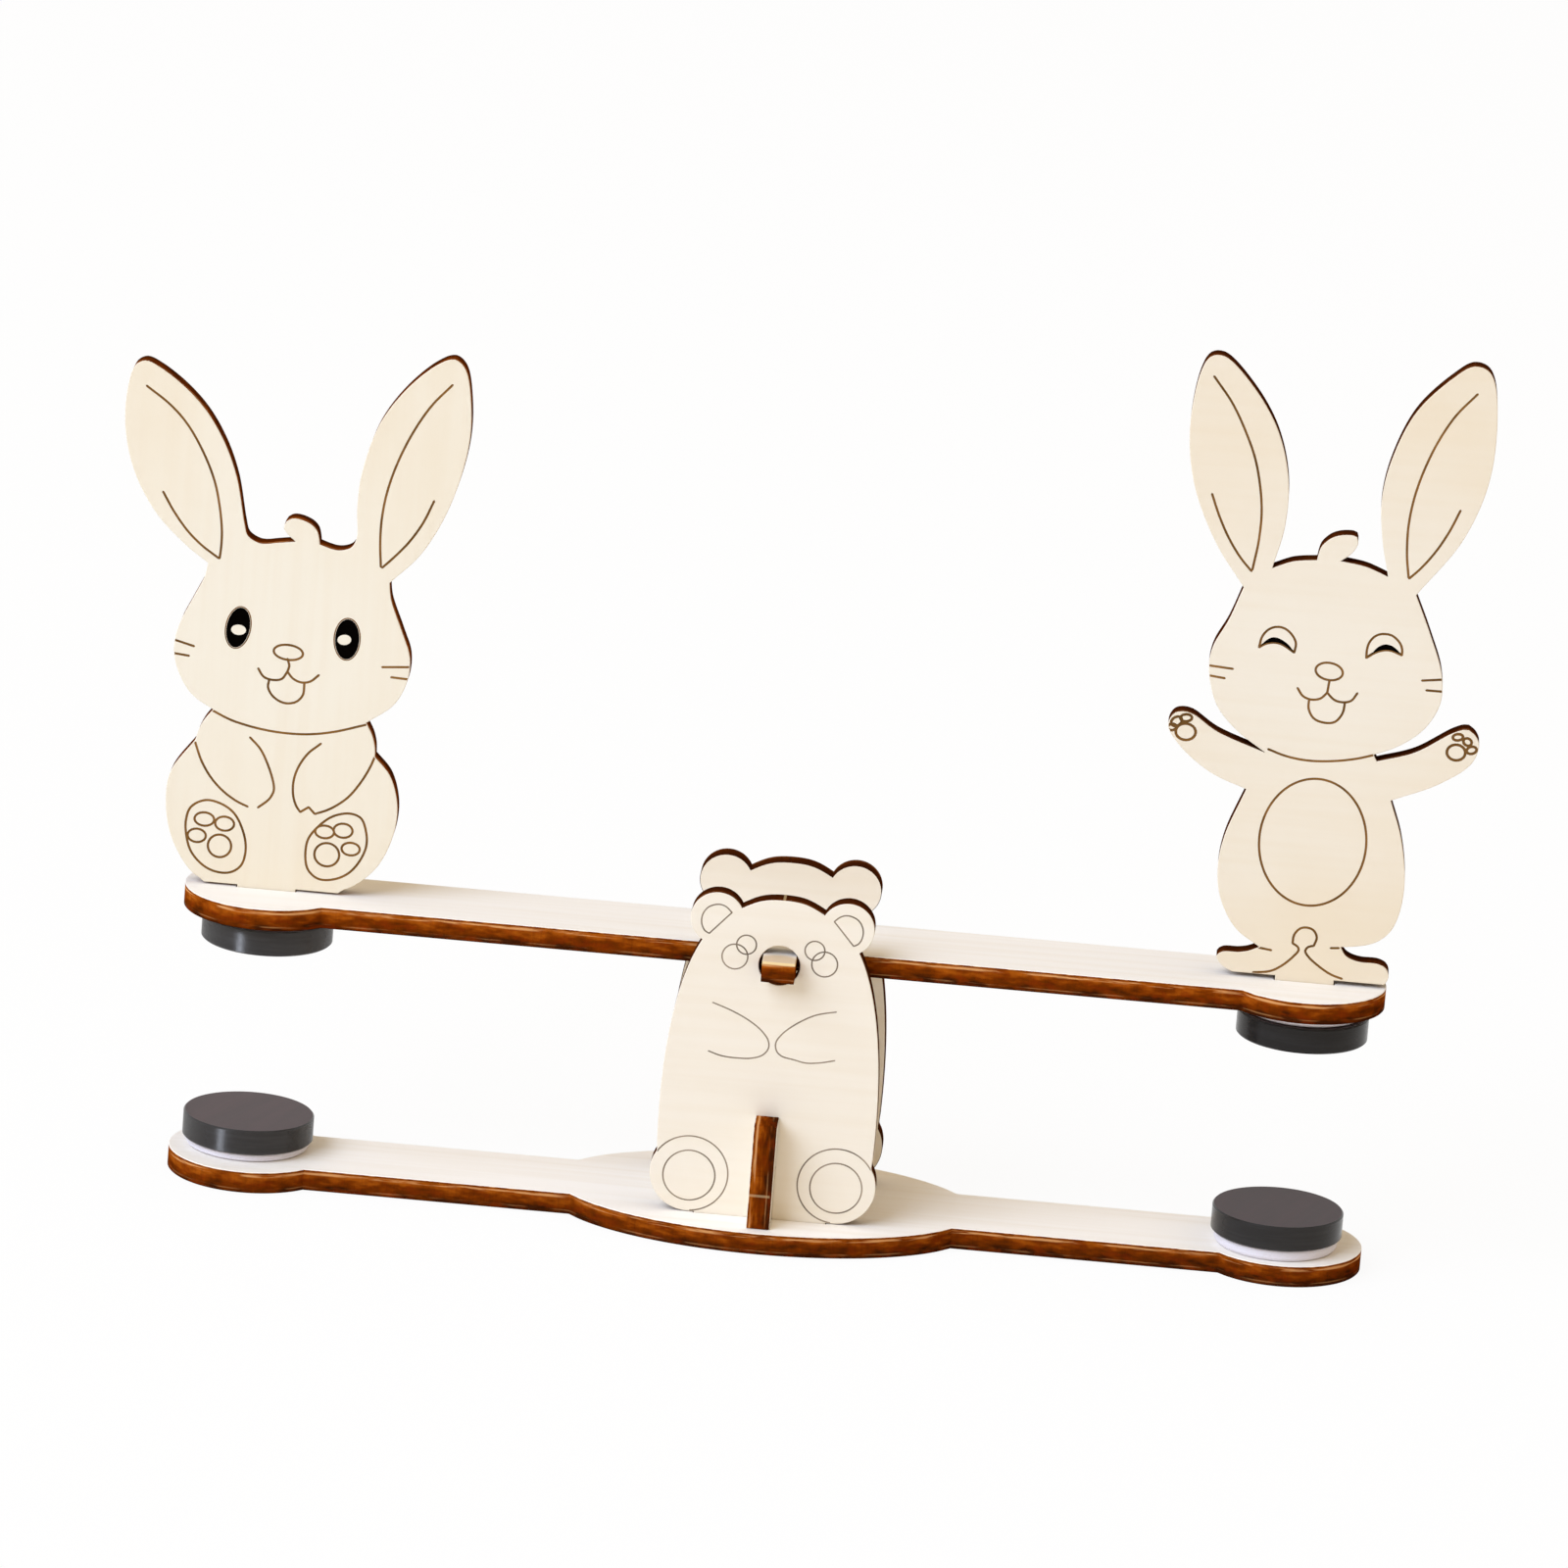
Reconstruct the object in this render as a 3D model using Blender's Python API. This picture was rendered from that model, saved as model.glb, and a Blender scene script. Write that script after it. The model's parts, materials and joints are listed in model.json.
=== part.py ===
"""Wooden seesaw teaching model: laser-cut plywood pieces that slot together.

A flat base plank carries two bear-shaped plates that are locked by a cross brace.
A beam plank turns on its own two square tabs in the bears' nose holes.
A rabbit figure stands on each end of the beam, over disc magnets that repel
those on the base, so that the beam floats level and swings back when pushed.

Metres, +Z up, +X along the planks, the front faces -Y.
The origin is the centre of the base plank's underside.
"""

import math

import bmesh
import bpy
from mathutils import Vector
from mathutils.geometry import interpolate_bezier

# Sheet thickness and fits
PLY = 0.0030
SLOT_FIT = 0.0001       # around a tab in its slot, on each side
SEAT_GAP = 0.0001       # between a piece and the face that it rests on
SIDE_PLAY = 0.0003      # between the beam and each bear plate
PIVOT_FIT = 0.0001      # between a trunnion's corners and its nose hole

# Planks
PLANK_LENGTH = 0.1644
PLANK_END_DIAMETER = 0.0224
BAR_WIDTH = 0.0152
FLARE_LENGTH = 0.0580   # full axes of the ellipse that widens the base
FLARE_WIDTH = 0.0356

# Pivot
PIVOT_HEIGHT = 0.0390
TRUNNION_WIDTH = 0.0045
TRUNNION_REACH = 0.0033  # beyond a bear's outer face

# Bear plates
BEAR_FOOT_RADIUS = 0.0054
BEAR_FOOT_X = 0.01005
BEAR_EAR_RADIUS = 0.00365
BEAR_EAR_X = 0.00885
BEAR_EAR_RISE = 0.0059   # ear centre above the nose
BEAR_CROWN_RISE = 0.0092
BEAR_TAB_WIDTH = 0.0180
BEAR_HIP_ANGLE = 31.0    # on the foot's circle, where the flank starts
BEAR_NECK_ANGLE = -60.0  # on the ear's circle, where the flank ends
BEAR_CROWN_ANGLE = 152.0  # on the ear's circle, where the crown starts
BEAR_HIP_PULL = 0.0117   # how far the flank runs straight up from the hip
BEAR_HIP_SWELL = 0.0006
BEAR_NECK_PULL = 0.0066  # how far it runs straight down from the neck
BEAR_NECK_SPREAD = 0.0036

# Cross brace
BRACE_HEIGHT = 0.0145
BRACE_MARGIN = 0.0018    # from its ends to the edge of the base

# Rabbit figures
SITTING_HEIGHT = 0.07625
STANDING_HEIGHT = 0.08755
RABBIT_TAB_WIDTH = 0.0080

# Magnets and their foam pads
MAGNET_DIAMETER = 0.0180
MAGNET_THICKNESS = 0.0035
MAGNET_CHAMFER = 0.0002
PAD_DIAMETER = 0.0170
BASE_LEFT_PAD = 0.0010   # thickness of the foam, which is not the same under each magnet
BASE_RIGHT_PAD = 0.0015
BEAM_LEFT_PAD = 0.0006
BEAM_RIGHT_PAD = 0.0012
BASE_LEFT_SHIFT = (-0.0006, 0.0014)   # the magnets are stuck on by hand, a little off centre
BASE_RIGHT_SHIFT = (-0.0007, -0.0014)
BEAM_LEFT_SHIFT = (0.0004, 0.0000)
BEAM_RIGHT_SHIFT = (0.0003, 0.0000)

# Fineness of curves
CURVE_STEP = 0.0011
ARC_STEP = math.radians(7.5)
SHARP_ANGLE = math.radians(40)

# Rabbit outlines, drawn in millimetres over the middle of the tab, from the left foot round to the right.
# Each row is one smooth stretch, and rows meet at corners. The feet end half a millimetre above the beam.
SITTING_OUTLINE = (
    # left haunch, arm and cheek
    ((-8.6, 0.5), (-10.2, 1.3), (-11.9, 3.3), (-13.6, 6.6), (-14.5, 11.2), (-14.1, 15.3), (-11.0, 20.1)),
    ((-11.0, 20.1), (-10.6, 21.6), (-9.9, 23.1), (-8.8, 24.6)),
    ((-8.8, 24.6), (-11.9, 26.5), (-14.0, 29.8), (-14.7, 32.9), (-14.2, 36.0), (-12.4, 40.2),
     (-11.1, 43.2), (-10.8, 45.1)),
    # left ear and crown
    ((-10.8, 45.1), (-13.7, 47.1), (-18.3, 51.5), (-21.7, 57.4), (-23.2, 63.9), (-22.9, 69.7),
     (-22.2, 71.7), (-20.9, 72.4), (-19.2, 71.8), (-15.6, 69.4), (-12.3, 66.2), (-9.6, 62.1),
     (-7.6, 57.3), (-6.1, 50.7), (-5.6, 49.3), (-3.8, 48.4), (-1.8, 48.65), (0.9, 49.1)),
    # tuft
    ((0.9, 49.1), (-0.8, 50.7), (-0.5, 51.8), (0.6, 52.3), (2.8, 51.7), (3.8, 50.7), (4.2, 49.0)),
    # crown and right ear
    ((4.2, 49.0), (6.5, 48.4), (8.4, 48.9), (9.1, 50.3), (8.9, 54.5), (9.2, 59.3), (11.2, 66.4),
     (14.7, 71.8), (18.7, 75.5), (20.7, 76.25), (22.2, 75.1), (23.3, 70.5), (23.4, 64.4),
     (21.4, 55.8), (18.0, 48.9), (14.0, 44.5)),
    # right cheek, arm and haunch
    ((14.0, 44.5), (14.3, 42.3), (16.2, 37.6), (17.4, 34.4), (17.3, 31.0), (15.7, 27.5),
     (12.1, 24.6)),
    ((12.1, 24.6), (13.0, 23.0), (13.5, 21.3), (13.6, 19.9)),
    ((13.6, 19.9), (15.8, 17.5), (17.0, 14.0), (17.1, 10.8), (16.3, 7.3), (14.9, 4.4), (13.1, 2.4),
     (11.5, 1.2), (9.8, 0.5)),
)
STANDING_OUTLINE = (
    # left foot, flank and raised arm
    ((-9.9, 0.5), (-11.4, 1.3), (-12.2, 2.5), (-11.4, 3.2), (-9.5, 3.3), (-8.0, 3.6), (-6.5, 4.3)),
    ((-6.5, 4.3), (-10.0, 6.7), (-12.4, 10.8), (-13.1, 15.0), (-12.6, 19.4), (-10.2, 26.3)),
    ((-10.2, 26.3), (-15.2, 28.2), (-19.7, 31.6), (-21.5, 34.3), (-20.7, 36.1), (-18.7, 36.3),
     (-14.8, 34.0), (-8.0, 31.6)),
    # left cheek and ear
    ((-8.0, 31.6), (-12.2, 34.4), (-15.2, 37.7), (-16.7, 42.6), (-16.4, 45.8), (-14.6, 49.7),
     (-13.0, 54.4)),
    ((-13.0, 54.4), (-17.3, 60.3), (-20.9, 68.2), (-22.1, 76.0), (-21.2, 83.8), (-20.1, 85.8),
     (-18.3, 86.0), (-14.0, 82.1), (-10.3, 76.5), (-8.3, 69.9), (-8.2, 63.3), (-9.4, 57.4)),
    # crown and tuft
    ((-9.4, 57.4), (-6.6, 58.6), (-3.5, 59.05)),
    ((-3.5, 59.05), (-3.1, 60.9), (-1.6, 62.4), (0.4, 62.9), (1.6, 62.7), (1.75, 61.6), (0.9, 60.2),
     (-0.35, 59.2)),
    ((-0.35, 59.2), (3.2, 58.7), (6.2, 57.6)),
    # right ear and cheek
    ((6.2, 57.6), (5.0, 62.5), (4.4, 68.2), (5.3, 74.0), (8.0, 80.7), (12.5, 85.8), (15.0, 87.55),
     (16.9, 87.2), (18.0, 85.6), (18.9, 79.0), (18.4, 71.2), (15.7, 63.4), (10.2, 55.4)),
    ((10.2, 55.4), (12.6, 50.1), (14.6, 44.8), (14.8, 40.6), (12.9, 36.8), (9.6, 34.1), (6.5, 32.7)),
    # step at the neck, raised arm, flank and foot
    ((6.5, 32.7), (7.0, 31.8)),
    ((7.0, 31.8), (12.0, 33.5), (17.3, 36.9), (19.0, 37.3), (20.5, 35.6), (19.8, 32.7), (15.7, 29.4),
     (9.4, 26.5)),
    ((9.4, 26.5), (11.3, 21.2), (12.3, 15.2), (11.9, 10.4), (10.8, 7.8), (9.0, 6.3), (6.7, 5.6), (4.5, 5.3)),
    ((4.5, 5.3), (5.2, 4.2), (6.4, 3.6), (7.8, 3.4), (9.5, 3.4), (10.8, 2.9), (11.3, 2.0), (11.2, 1.1),
     (10.8, 0.5)),
)

# Places that follow from the sizes above
END_X = (PLANK_LENGTH - PLANK_END_DIAMETER) / 2
BEAR_INNER_Y = BAR_WIDTH / 2 + SIDE_PLAY
BEAR_Y = BEAR_INNER_Y + PLY / 2
BEAR_OUTER_Y = BEAR_INNER_Y + PLY
BEAM_TOP = PLY / 2
CUT_DEPTH = 3 * PLY      # cutters reach past both faces of a sheet
UPRIGHT = (math.pi / 2, 0.0, 0.0)
CROSSWISE = (math.pi / 2, 0.0, math.pi / 2)


def clear_scene():
    for obj in list(bpy.data.objects):
        bpy.data.objects.remove(obj, do_unlink=True)


def finish(name, colour, roughness, metallic=0.0):
    material = bpy.data.materials.new(name)
    material.use_nodes = True
    shader = material.node_tree.nodes["Principled BSDF"]
    shader.inputs["Base Color"].default_value = (*colour, 1.0)
    shader.inputs["Roughness"].default_value = roughness
    shader.inputs["Metallic"].default_value = metallic
    return material


def arc(centre, radius_x, radius_y, start, end):
    """Points along an ellipse's arc, from start to end in radians."""
    steps = max(2, round(abs(end - start) / ARC_STEP))
    angles = (start + (end - start) * i / steps for i in range(steps + 1))
    return [
        Vector((centre[0] + radius_x * math.cos(a), centre[1] + radius_y * math.sin(a)))
        for a in angles
    ]


def inner_handle(before, knot, after):
    """Bezier handle after a knot of a smooth curve, so that uneven spacing makes no loops."""
    a = (knot - before).length ** 0.5
    b = (after - knot).length ** 0.5
    pull = after * a * a - before * b * b + knot * (2 * a * a + 3 * a * b + b * b)
    return pull / (3 * a * (a + b))


def smooth(knots):
    """A smooth stretch through the knots, without its last point."""
    points = []
    last = len(knots) - 1
    for i in range(last):
        start, end = knots[i], knots[i + 1]
        out = start.lerp(end, 1 / 3)
        into = end.lerp(start, 1 / 3)
        if i > 0:
            out = inner_handle(knots[i - 1], start, end)
        if i + 1 < last:
            into = inner_handle(knots[i + 2], end, start)
        steps = max(2, round((end - start).length / CURVE_STEP))
        points += interpolate_bezier(start, out, into, end, steps + 1)[:-1]
    return [Vector((p[0], p[1])) for p in points]


def place(obj, location, rotation, parent, material):
    obj.data.materials.append(material)
    obj.location = location
    obj.rotation_euler = rotation
    obj.parent = parent
    bpy.context.scene.collection.objects.link(obj)
    return obj


def plate(name, outline, material, location, rotation=(0, 0, 0), parent=None):
    """A sheet of plywood cut to an outline, centred on the outline's plane."""
    mesh = bpy.data.meshes.new(name)
    bm = bmesh.new()
    face = bm.faces.new([bm.verts.new((p[0], p[1], -PLY / 2)) for p in outline])
    grown = bmesh.ops.extrude_face_region(bm, geom=[face])["geom"]
    top = [v for v in grown if isinstance(v, bmesh.types.BMVert)]
    bmesh.ops.translate(bm, verts=top, vec=(0, 0, PLY))
    bmesh.ops.recalc_face_normals(bm, faces=bm.faces)
    bm.to_mesh(mesh)
    bm.free()
    return place(bpy.data.objects.new(name, mesh), location, rotation, parent, material)


def disc(name, diameter, thickness, material, location, parent=None, chamfer=0.0):
    """A round disc that stands on its location."""
    mesh = bpy.data.meshes.new(name)
    bm = bmesh.new()
    bmesh.ops.create_cone(
        bm, cap_ends=True, segments=round(2 * math.pi / ARC_STEP),
        radius1=diameter / 2, radius2=diameter / 2, depth=thickness,
    )
    bmesh.ops.translate(bm, verts=bm.verts, vec=(0, 0, thickness / 2))
    if chamfer:
        rims = [e for e in bm.edges if abs(e.verts[0].co.z - e.verts[1].co.z) < thickness / 2]
        bmesh.ops.bevel(bm, geom=rims, offset=chamfer, segments=1, affect="EDGES")
    bm.to_mesh(mesh)
    bm.free()
    mesh.shade_smooth()
    mesh.set_sharp_from_angle(angle=SHARP_ANGLE)
    return place(bpy.data.objects.new(name, mesh), location, (0, 0, 0), parent, material)


def cut(obj, cutter):
    """Cuts a hidden cutter, placed in the object's own frame, out of it."""
    cutter.parent = obj
    cutter.hide_render = True
    cutter.display_type = "WIRE"
    bpy.context.scene.collection.objects.link(cutter)
    boolean = obj.modifiers.new("cut " + cutter.name, "BOOLEAN")
    boolean.operation = "DIFFERENCE"
    boolean.object = cutter


def slot_cutter(name, width, depth, centre):
    mesh = bpy.data.meshes.new(name)
    bm = bmesh.new()
    bmesh.ops.create_cube(bm, size=1.0)
    bmesh.ops.scale(bm, verts=bm.verts, vec=(width, depth, CUT_DEPTH))
    bm.to_mesh(mesh)
    bm.free()
    cutter = bpy.data.objects.new(name, mesh)
    cutter.location = (*centre, 0)
    return cutter


def hole_cutter(name, radius, centre):
    mesh = bpy.data.meshes.new(name)
    bm = bmesh.new()
    bmesh.ops.create_cone(
        bm, cap_ends=True, segments=round(2 * math.pi / ARC_STEP),
        radius1=radius, radius2=radius, depth=CUT_DEPTH,
    )
    bm.to_mesh(mesh)
    bm.free()
    cutter = bpy.data.objects.new(name, mesh)
    cutter.location = (*centre, 0)
    return cutter


def turned(points):
    """The same points after half a turn in their plane."""
    return [Vector((-p[0], -p[1])) for p in points]


def end_disc():
    """The round end of a plank at +X, from its lower to its upper meeting with the bar."""
    radius = PLANK_END_DIAMETER / 2
    meeting = math.pi - math.asin(BAR_WIDTH / 2 / radius)
    return arc((END_X, 0), radius, radius, -meeting, meeting)


def base_outline():
    half_length, half_width = FLARE_LENGTH / 2, FLARE_WIDTH / 2
    meeting = math.asin(BAR_WIDTH / 2 / half_width)
    flare = arc((0, 0), half_length, half_width, meeting, math.pi - meeting)
    half = end_disc() + flare
    return half + turned(half)


def beam_outline():
    """A plain bar with round ends, and the two square tabs that it turns on."""
    reach = BEAR_OUTER_Y + TRUNNION_REACH
    trunnion = [
        Vector((TRUNNION_WIDTH / 2, BAR_WIDTH / 2)),
        Vector((TRUNNION_WIDTH / 2, reach)),
        Vector((-TRUNNION_WIDTH / 2, reach)),
        Vector((-TRUNNION_WIDTH / 2, BAR_WIDTH / 2)),
    ]
    half = end_disc() + trunnion
    return half + turned(half)


def bear_outline():
    """A bear plate over the base's top face: tabs beside the brace's slot, feet, flanks, ears, crown."""
    nose = PIVOT_HEIGHT - PLY
    slot = PLY / 2 + SLOT_FIT
    tab_end = SEAT_GAP - PLY
    foot = Vector((BEAR_FOOT_X, SEAT_GAP + BEAR_FOOT_RADIUS))
    ear = Vector((BEAR_EAR_X, nose + BEAR_EAR_RISE))
    foot_arc = arc(foot, BEAR_FOOT_RADIUS, BEAR_FOOT_RADIUS, -math.pi / 2, math.radians(BEAR_HIP_ANGLE))
    ear_arc = arc(
        ear, BEAR_EAR_RADIUS, BEAR_EAR_RADIUS,
        math.radians(BEAR_NECK_ANGLE), math.radians(BEAR_CROWN_ANGLE),
    )
    hip, neck = foot_arc[-1], ear_arc[0]
    steps = round((neck - hip).length / CURVE_STEP)
    flank = interpolate_bezier(
        hip, hip + Vector((BEAR_HIP_SWELL, BEAR_HIP_PULL)),
        neck + Vector((BEAR_NECK_SPREAD, -BEAR_NECK_PULL)), neck, steps + 1,
    )[1:-1]
    crown_start = ear_arc[-1]
    crown_top = Vector((0, nose + BEAR_CROWN_RISE))
    crown_pull = Vector((crown_start.x / 2, crown_top.y))
    crown_steps = round(crown_start.x / CURVE_STEP)
    crown = interpolate_bezier(crown_start, crown_start.lerp(crown_pull, 2 / 3), crown_pull, crown_top,
                               crown_steps + 1)[1:-1]
    right = [
        Vector((slot, SEAT_GAP + BRACE_HEIGHT / 2 + SEAT_GAP)),
        Vector((slot, tab_end)),
        Vector((BEAR_TAB_WIDTH / 2, tab_end)),
        Vector((BEAR_TAB_WIDTH / 2, SEAT_GAP)),
        *foot_arc, *flank, *ear_arc, *crown,
    ]
    left = [Vector((-p[0], p[1])) for p in reversed(right)]
    return right + [crown_top] + left


def brace_outline():
    """The cross brace over the base's top face, with a slot from above for each bear plate."""
    end = FLARE_WIDTH / 2 - BRACE_MARGIN
    top = SEAT_GAP + BRACE_HEIGHT
    slot_floor = SEAT_GAP + BRACE_HEIGHT / 2
    near = BEAR_INNER_Y - SLOT_FIT
    far = BEAR_OUTER_Y + SLOT_FIT
    right = [(end, SEAT_GAP), (end, top), (far, top), (far, slot_floor), (near, slot_floor), (near, top)]
    left = [(-x, y) for x, y in reversed(right)]
    return [Vector(p) for p in right + left]


def rabbit_outline(stretches, height):
    """A rabbit over the beam's top face, drawn to scale at the given height, with its tab below the feet."""
    scale = height / max(y for stretch in stretches for _, y in stretch)
    lift = Vector((0, SEAT_GAP))
    half = RABBIT_TAB_WIDTH / 2
    points = []
    for stretch in stretches:
        points += smooth([Vector(p) * scale + lift for p in stretch])
    points.append(Vector(stretches[-1][-1]) * scale + lift)
    sole, tab_end = points[0].y, SEAT_GAP - PLY
    tab = [(half, sole), (half, tab_end), (-half, tab_end), (-half, sole)]
    return points + [Vector(p) for p in tab]


def build_stand(plywood):
    base = plate("base_plank", base_outline(), plywood, (0, 0, PLY / 2))
    for side, y in (("front", -BEAR_Y), ("rear", BEAR_Y)):
        slot = slot_cutter(
            f"base_slot_{side}", BEAR_TAB_WIDTH + 2 * SLOT_FIT, PLY + 2 * SLOT_FIT, (0, y)
        )
        cut(base, slot)
        bear = plate(f"bear_plate_{side}", bear_outline(), plywood, (0, y, PLY), UPRIGHT)
        radius = math.hypot(TRUNNION_WIDTH, PLY) / 2 + PIVOT_FIT
        cut(bear, hole_cutter(f"nose_hole_{side}", radius, (0, PIVOT_HEIGHT - PLY)))
    plate("cross_brace", brace_outline(), plywood, (0, 0, PLY), CROSSWISE)


def build_beam(plywood, pivot):
    beam = plate("beam_plank", beam_outline(), plywood, (0, 0, 0), parent=pivot)
    rabbits = (
        ("rabbit_sitting", SITTING_OUTLINE, SITTING_HEIGHT, -END_X),
        ("rabbit_standing", STANDING_OUTLINE, STANDING_HEIGHT, END_X),
    )
    for name, stretches, height, x in rabbits:
        slot = slot_cutter(
            f"{name}_slot", RABBIT_TAB_WIDTH + 2 * SLOT_FIT, PLY + 2 * SLOT_FIT, (x, 0)
        )
        cut(beam, slot)
        plate(name, rabbit_outline(stretches, height), plywood, (x, 0, BEAM_TOP), UPRIGHT, pivot)


def build_magnets(ferrite, foam, pivot):
    """Each magnet on its foam pad: above the base's ends and below the beam's."""
    sides = (
        ("left", -END_X, BASE_LEFT_PAD, BASE_LEFT_SHIFT, BEAM_LEFT_PAD, BEAM_LEFT_SHIFT),
        ("right", END_X, BASE_RIGHT_PAD, BASE_RIGHT_SHIFT, BEAM_RIGHT_PAD, BEAM_RIGHT_SHIFT),
    )
    for side, x, base_pad, base_shift, beam_pad, beam_shift in sides:
        spot = (x + base_shift[0], base_shift[1])
        pad_z = PLY + SEAT_GAP
        magnet_z = pad_z + base_pad + SEAT_GAP
        disc(f"base_pad_{side}", PAD_DIAMETER, base_pad, foam, (*spot, pad_z))
        disc(f"base_magnet_{side}", MAGNET_DIAMETER, MAGNET_THICKNESS, ferrite, (*spot, magnet_z),
             chamfer=MAGNET_CHAMFER)
        spot = (x + beam_shift[0], beam_shift[1])
        pad_z = -BEAM_TOP - SEAT_GAP - beam_pad
        magnet_z = pad_z - SEAT_GAP - MAGNET_THICKNESS
        disc(f"beam_pad_{side}", PAD_DIAMETER, beam_pad, foam, (*spot, pad_z), pivot)
        disc(f"beam_magnet_{side}", MAGNET_DIAMETER, MAGNET_THICKNESS, ferrite, (*spot, magnet_z), pivot,
             MAGNET_CHAMFER)


def main():
    clear_scene()
    plywood = finish("basswood_plywood", (0.88, 0.79, 0.66), 0.6)
    ferrite = finish("ferrite", (0.09, 0.08, 0.08), 0.45, 0.3)
    foam = finish("white_foam", (0.86, 0.86, 0.87), 0.8)
    pivot = bpy.data.objects.new("beam_pivot", None)
    pivot.location = (0, 0, PIVOT_HEIGHT)
    bpy.context.scene.collection.objects.link(pivot)
    build_stand(plywood)
    build_beam(plywood, pivot)
    build_magnets(ferrite, foam, pivot)


main()
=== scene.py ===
"""Looks of a wooden seesaw teaching model, laid out as a Blender add-on.

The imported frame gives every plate's outline, the magnets and the foam pads. Each operator makes one piece,
or a group of like pieces, in the frame's own place: plywood plates with softened arrises, charred cut edges
and engraved drawings, turned magnets and pads, and a pale studio with the camera in front.
"""

import json
import math
from collections import namedtuple
from functools import partial

import bmesh
import bpy
import numpy as np
from bpy.props import FloatProperty, FloatVectorProperty, PointerProperty
from mathutils import Matrix, Vector
from mathutils.geometry import delaunay_2d_cdt, interpolate_bezier


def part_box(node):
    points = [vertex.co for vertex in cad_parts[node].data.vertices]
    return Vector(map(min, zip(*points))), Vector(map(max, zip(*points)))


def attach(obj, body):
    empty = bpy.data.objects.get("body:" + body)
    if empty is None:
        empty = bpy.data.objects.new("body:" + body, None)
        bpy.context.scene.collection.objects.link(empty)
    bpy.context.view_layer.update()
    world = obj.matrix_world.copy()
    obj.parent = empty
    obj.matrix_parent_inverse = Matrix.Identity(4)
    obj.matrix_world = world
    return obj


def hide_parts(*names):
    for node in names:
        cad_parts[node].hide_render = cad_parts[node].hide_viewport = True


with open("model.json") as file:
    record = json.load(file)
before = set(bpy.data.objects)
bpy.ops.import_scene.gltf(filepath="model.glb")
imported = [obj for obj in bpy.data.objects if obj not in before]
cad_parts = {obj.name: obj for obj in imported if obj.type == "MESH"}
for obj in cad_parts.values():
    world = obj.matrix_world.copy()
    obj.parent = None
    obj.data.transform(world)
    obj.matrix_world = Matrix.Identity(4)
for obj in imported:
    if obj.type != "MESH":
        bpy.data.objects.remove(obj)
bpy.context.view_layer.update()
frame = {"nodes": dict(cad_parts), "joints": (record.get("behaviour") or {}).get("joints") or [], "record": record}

bl_info = {
    "name": "Wooden seesaw teaching model",
    "version": (1, 0, 0),
    "blender": (4, 5, 0),
    "location": "3D View > Sidebar > Seesaw",
    "description": "Cuts, engraves and finishes the plates, magnets and pads of a rabbit seesaw",
    "category": "Add Mesh",
}

BODY_OF = {node: body for body, nodes in frame["record"]["behaviour"]["bodies"].items() for node in nodes}
PIVOT = Vector(frame["joints"][0]["pos_m"])
MM = 0.001

RIGHT = Vector((1, 0, 0))
BACK = Vector((0, 1, 0))
UP = Vector((0, 0, 1))

# Drawing of outlines and lines, in millimetres
OUTLINE_STEP = 0.4
LINE_STEP = 0.35
OVAL_STEPS = 12                    # round the smallest oval
OUTLINE_CORNER = math.radians(36)  # a sharper turn stays a corner
UNEVEN = 3.0                       # so does a point between a long run and a short one
MITRE_LIMIT = 0.5
EDGE_SHARP = math.radians(30)
POCKET_WALL = 0.12
WELD = 1e-6

VENEER, CHAR, LINE, POCKET = range(4)
ALONG_X, ALONG_Z = 0, 2
BLACK, GREY, WHITE = (0, 0, 0), (0.4, 0.4, 0.4), (1, 1, 1)

Stroke = namedtuple("Stroke", "path weight")  # weight: its width beside the drawing's usual line
Engraving = namedtuple("Engraving", "strokes pockets")
NO_ENGRAVING = Engraving((), ())
# Where a cut edge is unburnt: round a place, along some axes, down to a share of the sheet, and how bare
BareSpot = namedtuple("BareSpot", "place axes reach depth share")
# A cut's char: how burnt it is, how much darker it is painted towards its right end as shade where the light falls
# off, its blotches' size, its arris's soot
Char = namedtuple("Char", "burn drift blotch_mm arris", defaults=(0.0, (3.0, 1.4), 1.0))
# A plate's looks: colour, axis and warm share of its veneer and its char, and where it has them the colour of
# its lines, a bare spot in its cut and the place where its veneer is palest
Finish = namedtuple("Finish", "face grain_axis flush char engraving bare_spot pale_middle",
                    defaults=(None, None, None))

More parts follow.
